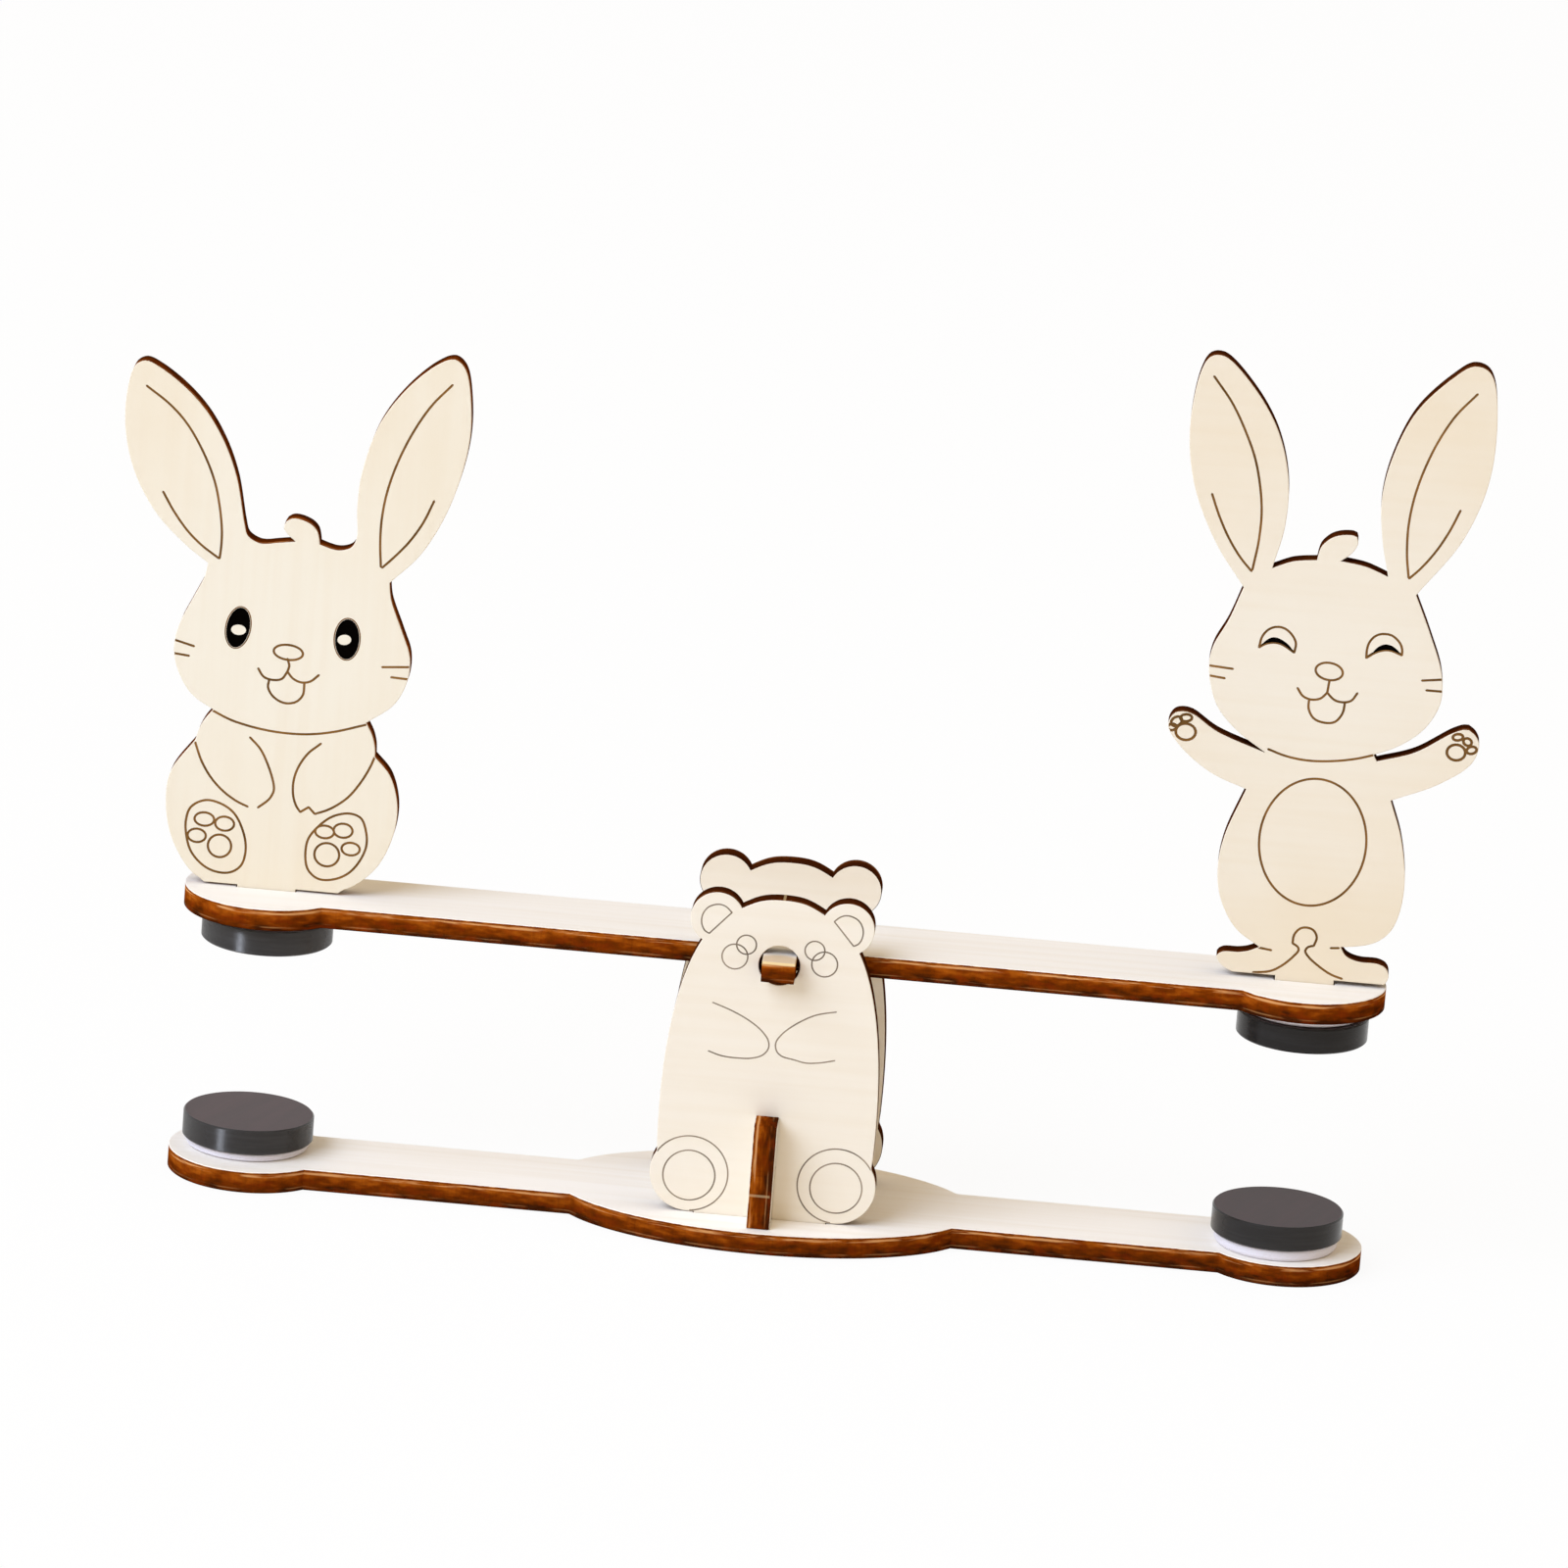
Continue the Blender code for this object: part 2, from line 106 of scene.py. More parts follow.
# Engraved drawings, in millimetres over the middle of the feet: each row is one stroke
SITTING_LINES = (
    # ears
    ((-20.55, 68.95), (-17.25, 66.65), (-14.75, 64.15), (-12.25, 60.25), (-10.55, 56.45), (-9.65, 52.95),
     (-9.15, 49.45), (-9.15, 46.95), (-9.25, 45.85)),
    ((-17.45, 54.45), (-15.75, 51.75), (-13.75, 49.25), (-11.75, 47.45), (-9.35, 45.85)),
    ((20.65, 72.75), (18.05, 69.65), (15.75, 65.65), (13.95, 61.25), (12.85, 57.25), (12.35, 53.45),
     (12.35, 49.95), (12.65, 46.65)),
    ((19.25, 56.45), (17.95, 53.25), (16.25, 50.45), (14.45, 48.25), (12.85, 46.55)),
    # whiskers
    ((-14.75, 33.95), (-11.95, 33.25)),
    ((-14.75, 32.05), (-12.55, 31.85)),
    ((13.75, 32.65), (17.55, 33.0)),
    ((15.05, 31.35), (17.6, 31.25)),
    # mouth and chin
    ((0.85, 32.65), (1.15, 31.65), (0.95, 30.85)),
    ((-3.05, 30.95), (-2.25, 29.85), (-1.05, 29.5), (0.25, 29.75), (0.95, 30.85)),
    ((0.95, 30.85), (1.75, 29.95), (2.95, 29.5), (4.15, 29.75), (5.25, 30.75)),
    ((-1.45, 29.5), (-1.55, 28.45), (-0.95, 27.35), (0.25, 26.55), (1.35, 26.4), (2.45, 26.75),
     (3.25, 27.75), (3.35, 29.5)),
    # neck and arms
    ((-8.85, 24.45), (-6.25, 23.35), (-2.75, 22.55), (0.75, 22.2), (4.25, 22.3), (7.75, 22.95),
     (12.05, 24.35)),
    ((-3.55, 21.15), (-2.05, 19.65), (-0.85, 17.45), (0.05, 14.95), (0.15, 13.95), (-0.35, 12.75),
     (-1.85, 11.35)),
    ((-10.95, 19.75), (-9.95, 17.25), (-8.55, 15.05), (-6.75, 13.25), (-4.75, 11.95), (-3.25, 11.35)),
    ((6.15, 21.15), (4.45, 19.55), (3.25, 17.45), (2.75, 15.45), (2.85, 13.45), (3.35, 12.05),
     (3.95, 11.25)),
    ((3.95, 11.25), (5.05, 12.05)),
    ((5.05, 12.05), (5.95, 11.15)),
    ((5.95, 11.15), (7.95, 12.05), (10.25, 13.85), (11.95, 16.25), (13.05, 18.45), (13.55, 19.85)),
)
SITTING_SOLES = (
    ((-9.05, 11.75), (-6.95, 11.45), (-5.05, 10.25), (-3.65, 7.75), (-3.15, 5.25), (-3.65, 2.95),
     (-5.05, 1.85), (-6.95, 1.75), (-8.75, 2.45), (-10.55, 4.25), (-11.35, 6.45), (-11.55, 8.75),
     (-10.95, 10.65)),
    ((10.65, 11.65), (8.45, 11.05), (6.55, 9.45), (5.25, 7.45), (5.05, 4.95), (5.55, 3.15), (6.95, 2.05),
     (8.75, 2.05), (10.75, 2.95), (12.25, 4.65), (13.25, 7.25), (13.05, 9.45), (12.25, 11.15)),
)
# An oval is its middle, width, height and lean in degrees
SITTING_OVALS = (
    (0.9, 33.55, 4.0, 2.1, -3),
    (-9.05, 9.05, 2.7, 1.9, 0), (-6.25, 8.65, 2.6, 2.0, 0), (-9.95, 6.65, 2.5, 1.9, 0),
    (-6.75, 5.45, 3.2, 3.2, 0),
    (7.45, 8.75, 2.6, 1.8, 0), (9.95, 9.15, 2.6, 2.0, 0), (11.15, 6.65, 2.5, 1.8, 0),
    (7.95, 5.55, 3.4, 3.3, 0),
)
SITTING_EYES = (((-6.12, 36.42, 3.15, 5.7, -8), (-6.05, 36.1, 2.05, 1.45, 0)),
                ((8.75, 36.12, 3.3, 5.65, 0), (8.38, 36.0, 1.9, 1.45, 10)))
EYE_RIM = 0.12
FINE, BOLD = 0.5, 1.2

STANDING_LINES = (
    # ears
    ((-19.45, 83.15), (-16.75, 79.75), (-14.75, 76.25), (-13.05, 72.45), (-12.05, 68.75), (-11.5, 64.95),
     (-11.55, 60.95), (-12.05, 56.95)),
    ((-18.35, 66.95), (-17.05, 63.85), (-15.45, 60.85), (-13.75, 58.45), (-12.15, 56.75)),
    ((15.85, 83.85), (13.25, 80.65), (11.25, 76.95), (9.75, 72.95), (8.75, 68.95), (8.3, 64.95),
     (8.45, 60.95), (8.95, 57.75)),
    ((15.05, 67.65), (13.85, 64.65), (12.25, 61.65), (10.45, 59.15), (9.05, 57.65)),
    # whiskers
    ((-16.75, 43.15), (-13.45, 42.95)),
    ((-16.55, 41.75), (-14.45, 41.55)),
    ((12.05, 43.65), (14.95, 44.05)),
    ((12.75, 42.35), (15.05, 42.35)),
    # mouth and chin
    ((-0.35, 42.6), (-0.5, 40.85)),
    ((-4.55, 41.1), (-3.75, 40.05), (-2.65, 39.65), (-1.35, 39.9), (-0.5, 40.8)),
    ((-0.5, 40.8), (0.5, 39.9), (1.6, 39.65), (2.8, 39.95), (3.55, 41.1)),
    ((-2.85, 39.7), (-2.8, 38.35), (-2.05, 37.1), (-0.75, 36.6), (0.85, 36.8), (1.8, 38.1), (2.0, 39.7)),
    # neck
    ((-7.75, 32.2), (-5.25, 31.45), (-2.25, 31.1), (1.25, 31.35), (4.25, 31.95), (6.45, 32.65)),
    # tail knot and feet
    ((-2.05, 5.25), (-1.95, 6.45), (-1.25, 7.4), (-0.35, 7.65), (0.6, 7.35), (1.15, 6.4), (0.85, 5.15)),
    ((-2.05, 5.25), (-1.35, 4.85), (-1.15, 4.35), (-1.75, 3.45), (-3.25, 1.95), (-4.75, 1.05),
     (-7.05, 0.65)),
    ((0.85, 5.15), (0.15, 4.95), (-0.25, 4.35), (0.25, 3.55), (1.75, 2.35), (3.45, 1.35), (5.05, 0.85)),
    ((-6.75, 4.25), (-4.85, 4.0)),
    ((3.15, 5.05), (4.25, 5.15)),
)
STANDING_OVALS = ((-0.5, 43.78, 3.7, 2.4, -6), (-0.6, 19.7, 14.5, 17.9, 0))
STANDING_PALMS = (
    (-19.05, 33.6, 2.7, 2.3, 0), (-19.15, 35.55, 1.6, 1.0, 8), (-20.4, 34.95, 1.2, 1.6, -50),
    (-20.95, 34.1, 1.2, 0.9, 15),
    (17.55, 34.05, 2.5, 2.2, 0), (17.6, 36.2, 1.4, 0.9, 10), (18.95, 35.65, 1.2, 1.0, -30),
    (19.6, 34.55, 1.4, 1.0, 20),
)
# A closed eye is a dark crescent, over and under, with a lid above it
STANDING_EYES = (
    (((-10.21, 46.3), (-9.57, 47.1), (-9.02, 47.6), (-8.44, 47.85), (-7.73, 47.8), (-6.86, 47.4),
      (-6.23, 46.95), (-5.44, 46.0)),
     ((-5.44, 46.0), (-6.32, 46.55), (-6.95, 46.9), (-7.68, 47.12), (-8.39, 47.14), (-9.2, 46.95),
      (-9.75, 46.65), (-10.21, 46.3))),
    (((4.29, 46.15), (5.03, 46.9), (5.56, 47.6), (6.11, 48.03), (6.8, 48.25), (7.53, 48.13), (8.15, 47.78),
      (9.03, 46.95)),
     ((9.03, 46.95), (8.31, 47.22), (7.57, 47.45), (6.74, 47.45), (5.82, 47.18), (5.15, 46.8),
      (4.29, 46.15))),
)
STANDING_LIDS = (
    ((-10.19, 46.41), (-9.97, 47.66), (-9.45, 48.57), (-8.67, 49.16), (-7.86, 49.35), (-7.02, 49.22),
     (-6.27, 48.74), (-5.67, 48.06), (-5.3, 47.23), (-5.41, 46.05)),
    ((4.29, 46.21), (4.29, 47.25), (4.5, 48.25), (5.07, 49.1), (5.75, 49.53), (6.56, 49.67), (7.4, 49.56),
     (8.16, 49.08), (8.75, 48.4), (9.03, 47.56), (9.03, 47.01)),
)

# The bear's drawing, in millimetres over the middle of its nose hole. The right half is mirrored to the left
BEAR_EAR = ((6.95, 6.9), (7.8, 7.65), (8.75, 7.9), (10.15, 7.4), (10.9, 6.2), (10.9, 4.9), (10.4, 4.0),
            (9.8, 3.7))
BEAR_OVALS = ((6.1, 0.75, 3.5, 3.5, 0), (4.65, 2.55, 2.7, 2.7, 0), (10.05, -30.8, 7.1, 7.1, 0))
BEAR_FOOT = (10.05, -30.5, 5.3)
BEAR_FOOT_ARC = (31, 265)
BEAR_LEFT_ARM = ((-8.6, -6.0), (-6.0, -6.9), (-3.5, -8.1), (-1.7, -9.4), (-0.7, -10.7), (-0.6, -11.8),
                 (-1.3, -12.8), (-2.8, -13.4), (-5.0, -13.55), (-7.0, -13.4), (-8.7, -12.9))
BEAR_RIGHT_ARM = ((8.2, -5.8), (5.5, -6.5), (3.2, -7.8), (1.2, -9.5), (0.35, -10.9), (0.5, -12.0),
                  (1.2, -12.7), (3.0, -13.1), (4.7, -13.4), (6.5, -13.2), (8.5, -12.7))
SITTING_FACE, STANDING_FACE = 36.0, 46.0  # heights of the rabbits' faces over their feet
SOLE = 0.5        # height of the frame's soles over the drawing's origin
SOLE_DROP = 0.3   # and how far the sitting rabbit's are let down
SOLE_SLACK = 0.1  # a point this near that height is on a sole
SLOT_FILL = 0.08  # how far the brace swells to each side in its slots
BEAR_NIB_HEIGHT = 9.2    # over the nose hole
BRACE_NIB_HEIGHT = 7.75  # over the table
TRUNNION_BARE = 4.5      # how far from a trunnion's end it is spared the char and its top face toasted, both partly painted light
PLANK_BLOTCH = (3.0, 1.0)
BRACE_BLOTCH = (2.5, 0.6)
LINE_PATCH, POCKET_PATCH = 4.0, 0.6  # how far a line's or a pocket's burn stays alike

# Lights and floor, in metres
KEY_PLACE, KEY_SIZE = (-2.04, -1.97, 2.35), (3.0, 2.6)
SHEEN_PLACE, SHEEN_SIZE = (-1.98, -1.91, 2.28), (0.6, 2.2)
LIT_POINT = Vector((0, 0, 0.05))
FLOOR_REACH = 6.0
FLOOR_DROP = 0.05 * MM


def linear(hex_colour):
    """An sRGB hex colour as linear red, green and blue."""
    channels = [int(hex_colour[i:i + 2], 16) / 255 for i in (1, 3, 5)]
    return tuple(c / 12.92 if c <= 0.04045 else ((c + 0.055) / 1.055) ** 2.4 for c in channels)


def colour(name, description, hex_colour):
    return FloatVectorProperty(name=name, description=description, subtype="COLOR", size=3, min=0.0, max=1.0,
                               default=linear(hex_colour))


def length(name, description, millimetres):
    return FloatProperty(name=name, description=description, subtype="DISTANCE", unit="LENGTH", min=0.0,
                         precision=5, default=millimetres * MM)


def number(name, description, default, subtype="NONE", **limits):
    return FloatProperty(name=name, description=description, default=default, subtype=subtype, **limits)


class SeesawWood(bpy.types.PropertyGroup):
    """Sizes and colours of the plywood plates."""

    arris: length("Arris", "Softened edge between a face and a cut", 0.08)
    line_depth: length("Line depth", "Depth of an engraved line", 0.05)
    pocket_depth: length("Pocket depth", "Depth of a burnt-out area", 0.3)
    rabbit_line: length("Rabbit line", "Width of the lines on the rabbits", 0.33)
    bear_line: length("Bear line", "Width of the finer lines on the bears", 0.21)
    nib: length("Nib", "Radius of the pale mark where a holding nib was snapped off", 0.22)
    bear: colour("Bear veneer", "Sanded face of the bears and the brace", "#ede5d6")
    sitting: colour("Sitting veneer", "Sanded face of the sitting rabbit", "#eae3d2")
    standing: colour("Standing veneer", "Sanded face of the standing rabbit", "#e9e1d1")
    # the planks' veneers are whiter than the uprights', partly a real difference and partly painted light for
    # upward faces that get less of the key; the base's is whitest, also against the shade of the beam and figures
    # over it
    beam: colour("Beam veneer", "Whiter sanded face of the beam", "#f7f4ef")
    base: colour("Base veneer", "Whitest sanded face, of the base", "#fdf9f3")
    grain: colour("Grain", "Darker grain streaks", "#e0d0b4")
    flush: colour("Flush", "Warm tan zones in the veneer", "#e2ceab")
    # the trunnion's top face: partly real toast, partly painted shade from the nose hole
    scorch_and_hole_shade: colour("Scorch", "Toasted face of a trunnion", "#d2bb9c")
    bare: colour("Bare wood", "Unburnt wood in a cut", "#ecd29c")
    worn: colour("Worn edge", "Pale streaks of a cut", "#d69c62")
    caramel: colour("Caramel", "Lightly toasted upper half of a cut", "#a3520f")
    toasted: colour("Toasted", "Middle of a cut", "#743104")
    charred: colour("Charred", "Dark lower half of a cut", "#5a2604")
    russet: colour("Russet", "Redder patches of a cut", "#7a2a06")
    soot: colour("Soot", "Darkest char", "#381706")
    rabbit_burn: colour("Rabbit engraving", "Brown of the rabbits' lines", "#76542d")
    bear_burn: colour("Bear engraving", "Greyer brown of the bears' lines", "#8d7f6e")
    black: colour("Burnt black", "Filled eyes", "#060403")


class SeesawMagnets(bpy.types.PropertyGroup):
    """Sizes and colours of the magnets and pads."""

    chamfer: length("Chamfer", "Broken edge of a magnet", 0.2)
    pad_bulge: length("Pad bulge", "How far the foam swells at its rim", 0.12)
    pad_undercut: length("Pad undercut", "How far the glue stops short of the foam's rim", 0.25)
    pad_rag: length("Pad raggedness", "Unevenness of the punched rim", 0.07)
    groove_pitch: length("Groove pitch", "From one grinding groove to the next round a magnet", 0.125)
    face: colour("Ground face", "Flat face of a magnet", "#423637")
    side: colour("Ground side", "Round side of a magnet", "#262627")
    foam: colour("Foam", "White adhesive foam", "#dedae1")


class SeesawStage(bpy.types.PropertyGroup):
    """Camera, light and floor."""

    lens: number("Lens", "Focal length", 253.61, "DISTANCE_CAMERA")
    distance: length("Distance", "From the camera to the point that it looks at", 1500)
    aim: FloatVectorProperty(name="Aim", description="Point that the camera looks at", subtype="TRANSLATION",
                             unit="LENGTH", default=(-1.718 * MM, 0.0, 61.453 * MM))
    elevation: number("Elevation", "Height of the camera's view", math.radians(15.871), "ANGLE")
    yaw: number("Yaw", "Turn of the camera round the model", math.radians(2.142), "ANGLE")
    roll: number("Roll", "Tilt of the picture", math.radians(-4.506), "ANGLE")
    sky: number("Sky", "Strength of the even light all round", 0.63)
    sky_tint: colour("Sky tint", "Light thrown back by the room", "#ffe8c5")
    key: number("Key", "Wide light from the left", 146.0, "POWER")
    sheen: number("Sheen", "Narrow light in front of the key, seen only in sheens", 116.0, "POWER")
    key_tint: colour("Key tint", "Daylight of both", "#d2e4ff")
    floor: colour("Floor", "Pale floor", "#fafafa")
    glow: number("Floor glow", "Share of plain white on the floor, to the camera", 0.92, "FACTOR", min=0.0,
                 max=1.0)


def add_node(tree, kind, *values, out=None, stops=(), **named):
    """Adds a node and gives its first open output, or the one of that name.

    Values and links go to the node's open inputs, in order. A capital name is an input too, and any other is
    a setting. Stops are a ramp's places and shades. A kind without Node in it is a shader node.
    """
    node = tree.nodes.new(kind if "Node" in kind else f"ShaderNode{kind}")
    inputs = []
    for name, value in named.items():
        if name.islower():
            setattr(node, name, value)
        else:
            inputs.append((node.inputs[name.replace("_", " ")], value))
    inputs += zip((socket for socket in node.inputs if socket.enabled), values)
    for socket, value in inputs:
        if isinstance(value, bpy.types.NodeSocket):
            tree.links.new(value, socket)
        else:
            socket.default_value = (*value, 1.0) if socket.type == "RGBA" else value
    for i, (place, shade) in enumerate(stops):
        ramp = node.color_ramp.elements
        stop = ramp[i] if i < 2 else ramp.new(place)
        stop.position = place
        stop.color = (*shade, 1.0)
    outputs = [socket for socket in node.outputs if socket.enabled and out in (None, socket.name)]
    return outputs[0] if outputs else None


def blank_tree(owner):
    """What adds nodes to the emptied tree of a new material or world."""
    owner.use_nodes = True
    owner.node_tree.nodes.clear()
    return partial(add_node, owner.node_tree)


def new_material(name, recipe, *details):
    """A material whose surface a recipe makes from its details, with what adds nodes to its tree."""
    material = bpy.data.materials.new(name)
    add = blank_tree(material)
    add("OutputMaterial", recipe(add, *details))
    return material


def speckle(add, place, size, detail, turn=0.0):
    """Noise whose features have this size in millimetres along each axis, turned round the last one."""
    spread = add("Mapping", place, Rotation=(0.0, 0.0, turn), Scale=[s * MM for s in size],
                 vector_type="TEXTURE")
    return add("TexNoise", spread, Scale=1.0, Detail=detail)


def layered(add, ground, layers):
    """A ground with other shades laid over it in order, each by its own share."""
    for share, shade in layers:
        ground = add("Mix", share, ground, shade, data_type="RGBA")
    return ground


def distance_from(add, place, axes):
    """Distance along some axes from a place and its mirror images."""
    here = add("TexCoord", out="Object")
    folded = add("VectorMath", here, operation="ABSOLUTE")
    offset = add("VectorMath", folded, place, operation="SUBTRACT")
    level = add("VectorMath", offset, axes, operation="MULTIPLY")
    return add("VectorMath", level, operation="LENGTH")


def around(add, spot):
    """A bare spot's share round its place, and 0 beyond its reach."""
    distance = distance_from(add, spot.place, spot.axes)
    return add("MapRange", distance, 0.6 * spot.reach, spot.reach, spot.share, 0.0)


def basswood_veneer(add, wood, finish):
    """Sanded basswood: nearly figureless cream, with faint streaks along the grain and warm flushes."""
    place = add("TexCoord", out="Object")

    def along_grain(length_mm, width_mm, detail):
        size = [width_mm] * 3
        size[finish.grain_axis] = length_mm
        return speckle(add, place, size, detail)

    streaks = add("MapRange", along_grain(42.0, 1.5, 4.0), 0.42, 0.78, 0.0, 0.22)
    zones = along_grain(34.0, 18.0, 2.0)
    flushes = add("MapRange", zones, 0.35, 0.65, 0.4 * finish.flush, finish.flush)
    if finish.pale_middle:
        away = distance_from(add, finish.pale_middle, (1, 0, 1))
        outer = add("MapRange", away, 10 * MM, 34 * MM, 0.15, 1.0)
        flushes = add("Math", flushes, outer, operation="MULTIPLY")
    layers = [(streaks, wood.grain), (flushes, wood.flush)]
    # a trunnion's top face near its end is toasted, partly as painted shade from the nose hole
    if finish.bare_spot and finish.bare_spot.depth < 1:
        layers.append((around(add, finish.bare_spot), wood.scorch_and_hole_shade))
    # real fibres are finer than a pixel, so they are drawn 0.25 mm wide
    fibres = along_grain(7.0, 0.25, 2.0)
    return add("BsdfPrincipled", layered(add, finish.face, layers), IOR=1.45, Specular_IOR_Level=0.25,
               Roughness=add("MapRange", fibres, 0.0, 1.0, 0.52, 0.72),
               Normal=add("Bump", Height=fibres, Strength=0.12, Distance=0.05 * MM))


def charred_edge(add, wood, thickness, finish):
    """Laser-cut plywood edge: russet blotches that darken downwards, partly as real char and partly as painted
    shade towards the underside, and a worn band under a singed arris.

    The edge is bare down to a share of the sheet's thickness round the bare spot.
    """
    place = add("TexCoord", out="UV")
    char, spot = finish.char, finish.bare_spot
    unburnt, overall = 1 - char.burn, 0.3 * char.burn

    def along_cut(length_mm, depth_mm, detail):
        return speckle(add, place, (length_mm, depth_mm, 1.0), detail)

    def broken(band, *patches):
        return add("Math", band, add("MapRange", *patches), operation="MULTIPLY")

    smears = along_cut(5.0, 0.4, 5.0)
    striations = along_cut(0.4, 4.0, 2.0)
    chips = along_cut(1.6, 4.0, 3.0)
    share = add("MapRange", add("SeparateXYZ", place, out="Y"), 0.0, thickness)

    rightward = add("SeparateXYZ", add("TexCoord", out="Object"), out="X")
    # painted shade: the burn grows towards the right end, standing in for the light falling off
    drift = add("MapRange", rightward, -70 * MM, 70 * MM, overall - char.drift, overall + char.drift)
    blotches = add("MapRange", along_cut(*char.blotch_mm, 2.5), 0.28, 0.72, -0.35, 0.35)
    mottle = add("Math", drift, blotches, operation="ADD")
    # darker downwards through the sheet: partly real char, partly painted shade towards the lower arris
    toast_and_lower_shade = add("ValToRGB", add("Math", share, mottle, operation="ADD"), stops=(
        (0.1, wood.caramel), (1.0, wood.soot), (0.48, wood.toasted), (0.75, wood.charred)))
    singed = add("ValToRGB", share, stops=((0.02, BLACK), (0.13, BLACK), (0.05, WHITE), (0.09, WHITE)))
    rubbed = add("ValToRGB", share, stops=(
        (0.1, BLACK), (0.95, BLACK), (0.15, WHITE), (0.21, WHITE), (0.27, BLACK), (0.78, BLACK), (0.83, GREY),
        (0.88, BLACK)))
    rim = add("MapRange", share, 0.03, 0.06, 1.0, 0.0)
    layers = [
        (add("MapRange", along_cut(2.5, 1.2, 2.0), 0.5, 0.65, 0.0, 0.5 * unburnt), wood.russet),
        (add("MapRange", striations, 0.45, 0.75, char.burn, min(1.0, char.burn + 0.2)), wood.soot),
        (broken(singed, chips, 0.35, 0.65, 0.85, 0.15), wood.charred),
        (broken(rubbed, smears, 0.46, 0.58, 0.0, 0.9 * unburnt), wood.worn),
        (add("MapRange", share, 0.95, 0.98, 0.0, char.arris), wood.soot),
        (broken(rim, chips, 0.47, 0.6, 0.0, 0.9 * unburnt), wood.bare),
    ]
    # on a trunnion the bare strip at the top of its end is partly unburnt ply, partly a painted highlight on its
    # upper edge
    if spot:
        spared = broken(around(add, spot), share, spot.depth - 0.06, spot.depth, 1.0, 0.0)
        layers.append((spared, wood.bare))
    return add("BsdfPrincipled", layered(add, toast_and_lower_shade, layers), Roughness=0.8, Specular_IOR_Level=0.0,
               Normal=add("Bump", Height=striations, Strength=0.35, Distance=0.06 * MM))


def burnt_wood(add, shade, patch_mm):
    """Wood burnt by the engraving beam: a dead matt brown to black that varies along the line."""
    patches = speckle(add, add("TexCoord", out="Object"), [patch_mm] * 3, 3.0)
    dark = [0.65 * c for c in shade]
    pale = [min(1.0, 1.4 * c) for c in shade]
    burn = add("ValToRGB", patches, stops=((0.3, dark), (0.7, pale)))
    return add("BsdfPrincipled", burn, Roughness=0.85, Specular_IOR_Level=0.0)


def sintered_ferrite(add, shade, falloff_shade, streak_mm, turn, groove_mm, roughness):
    """Ground sintered ferrite: dense dark grey ceramic whose fine streaks break up its sheen."""
    streaks = speckle(add, add("TexCoord", out="Object"), streak_mm, 3.0, turn)
    # painted shade: the factor darkens the colour and the sheen of a disc that gets less light
    dark = [falloff_shade * c for c in shade]
    pale = [1.3 * c for c in dark]
    return add("BsdfPrincipled", add("ValToRGB", streaks, stops=((0.42, dark), (0.62, pale))), IOR=1.6,
               Roughness=add("MapRange", streaks, 0.0, 1.0, roughness - 0.06, roughness + 0.1),
               Normal=add("Bump", Height=streaks, Strength=1.0, Distance=groove_mm * MM),
               Specular_IOR_Level=0.26 * falloff_shade, Specular_Tint=(1.0, 0.89, 0.79))


def adhesive_foam(add, shade):
    """White closed-cell foam tape: soft, matt, with a fine cellular rim."""
    cells = add("TexVoronoi", add("TexCoord", out="Object"), Scale=1 / (0.22 * MM))
    shadowed = [0.93 * c for c in shade]
    return add("BsdfPrincipled", add("ValToRGB", cells, stops=((0.1, shadowed), (0.5, shade))),
               Normal=add("Bump", Height=cells, Strength=0.15, Distance=0.06 * MM), Roughness=0.75,
               Subsurface_Weight=0.15, Subsurface_Radius=(1.0, 1.0, 1.0), Subsurface_Scale=0.3 * MM)


def inner_handle(before, knot, after):
    """Bezier handle after a knot of a smooth curve, so that uneven spacing makes no loops."""
    a = (knot - before).length ** 0.5
    b = (after - knot).length ** 0.5
    pull = after * a * a - before * b * b + knot * (2 * a * a + 3 * a * b + b * b)
    return pull / (3 * a * (a + b))


def smooth_path(knots, step, closed=False):
    """A smooth path through the knots, as points about a step apart, back to its start if closed."""
    knots = [Vector(k) for k in knots]
    count = len(knots)
    path = []
    for i in range(count if closed else count - 1):
        start, end = knots[i], knots[(i + 1) % count]
        out, into = start.lerp(end, 1 / 3), end.lerp(start, 1 / 3)
        if closed or i > 0:
            out = inner_handle(knots[i - 1], start, end)
        if closed or i + 2 < count:
            into = inner_handle(knots[(i + 2) % count], end, start)
        steps = max(1, round((end - start).length / step))
        path += interpolate_bezier(start, out, into, end, steps + 1)[:-1]
    path.append(knots[0] if closed else knots[-1])
    return [Vector((p[0], p[1])) for p in path]


def oval(u, v, width, height, lean=0.0):
    """A closed oval that ends on its first point."""
    steps = max(OVAL_STEPS, round(math.pi * (width + height) / 2 / LINE_STEP))
    turn = Matrix.Rotation(math.radians(lean), 2)
    angles = [2 * math.pi * i / steps for i in range(steps)]
    ring = [turn @ Vector((width / 2 * math.cos(a), height / 2 * math.sin(a))) for a in angles]
    ring = [Vector((u, v)) + p for p in ring]
    return ring + [ring[0]]


def mirrored(knots):
    return [(-u, v) for u, v in knots]


def curves(rows, weight=1.0, closed=False):
    """Strokes through rows of knots."""
    return [Stroke(smooth_path(knots, LINE_STEP, closed), weight) for knots in rows]


def ovals(shapes, weight=1.0):
    return [Stroke(oval(*shape), weight) for shape in shapes]


def sitting_drawing():
    drawn = curves(SITTING_LINES) + curves(SITTING_SOLES, closed=True) + ovals(SITTING_OVALS)
    pockets = []
    for eye, glint in SITTING_EYES:
        u, v, width, height, lean = eye
        drawn += ovals([(u, v, width + 2 * EYE_RIM, height + 2 * EYE_RIM, lean)], FINE)
        pockets.append((oval(*eye)[:-1], [oval(*glint)[:-1]]))
    return Engraving(drawn, pockets)


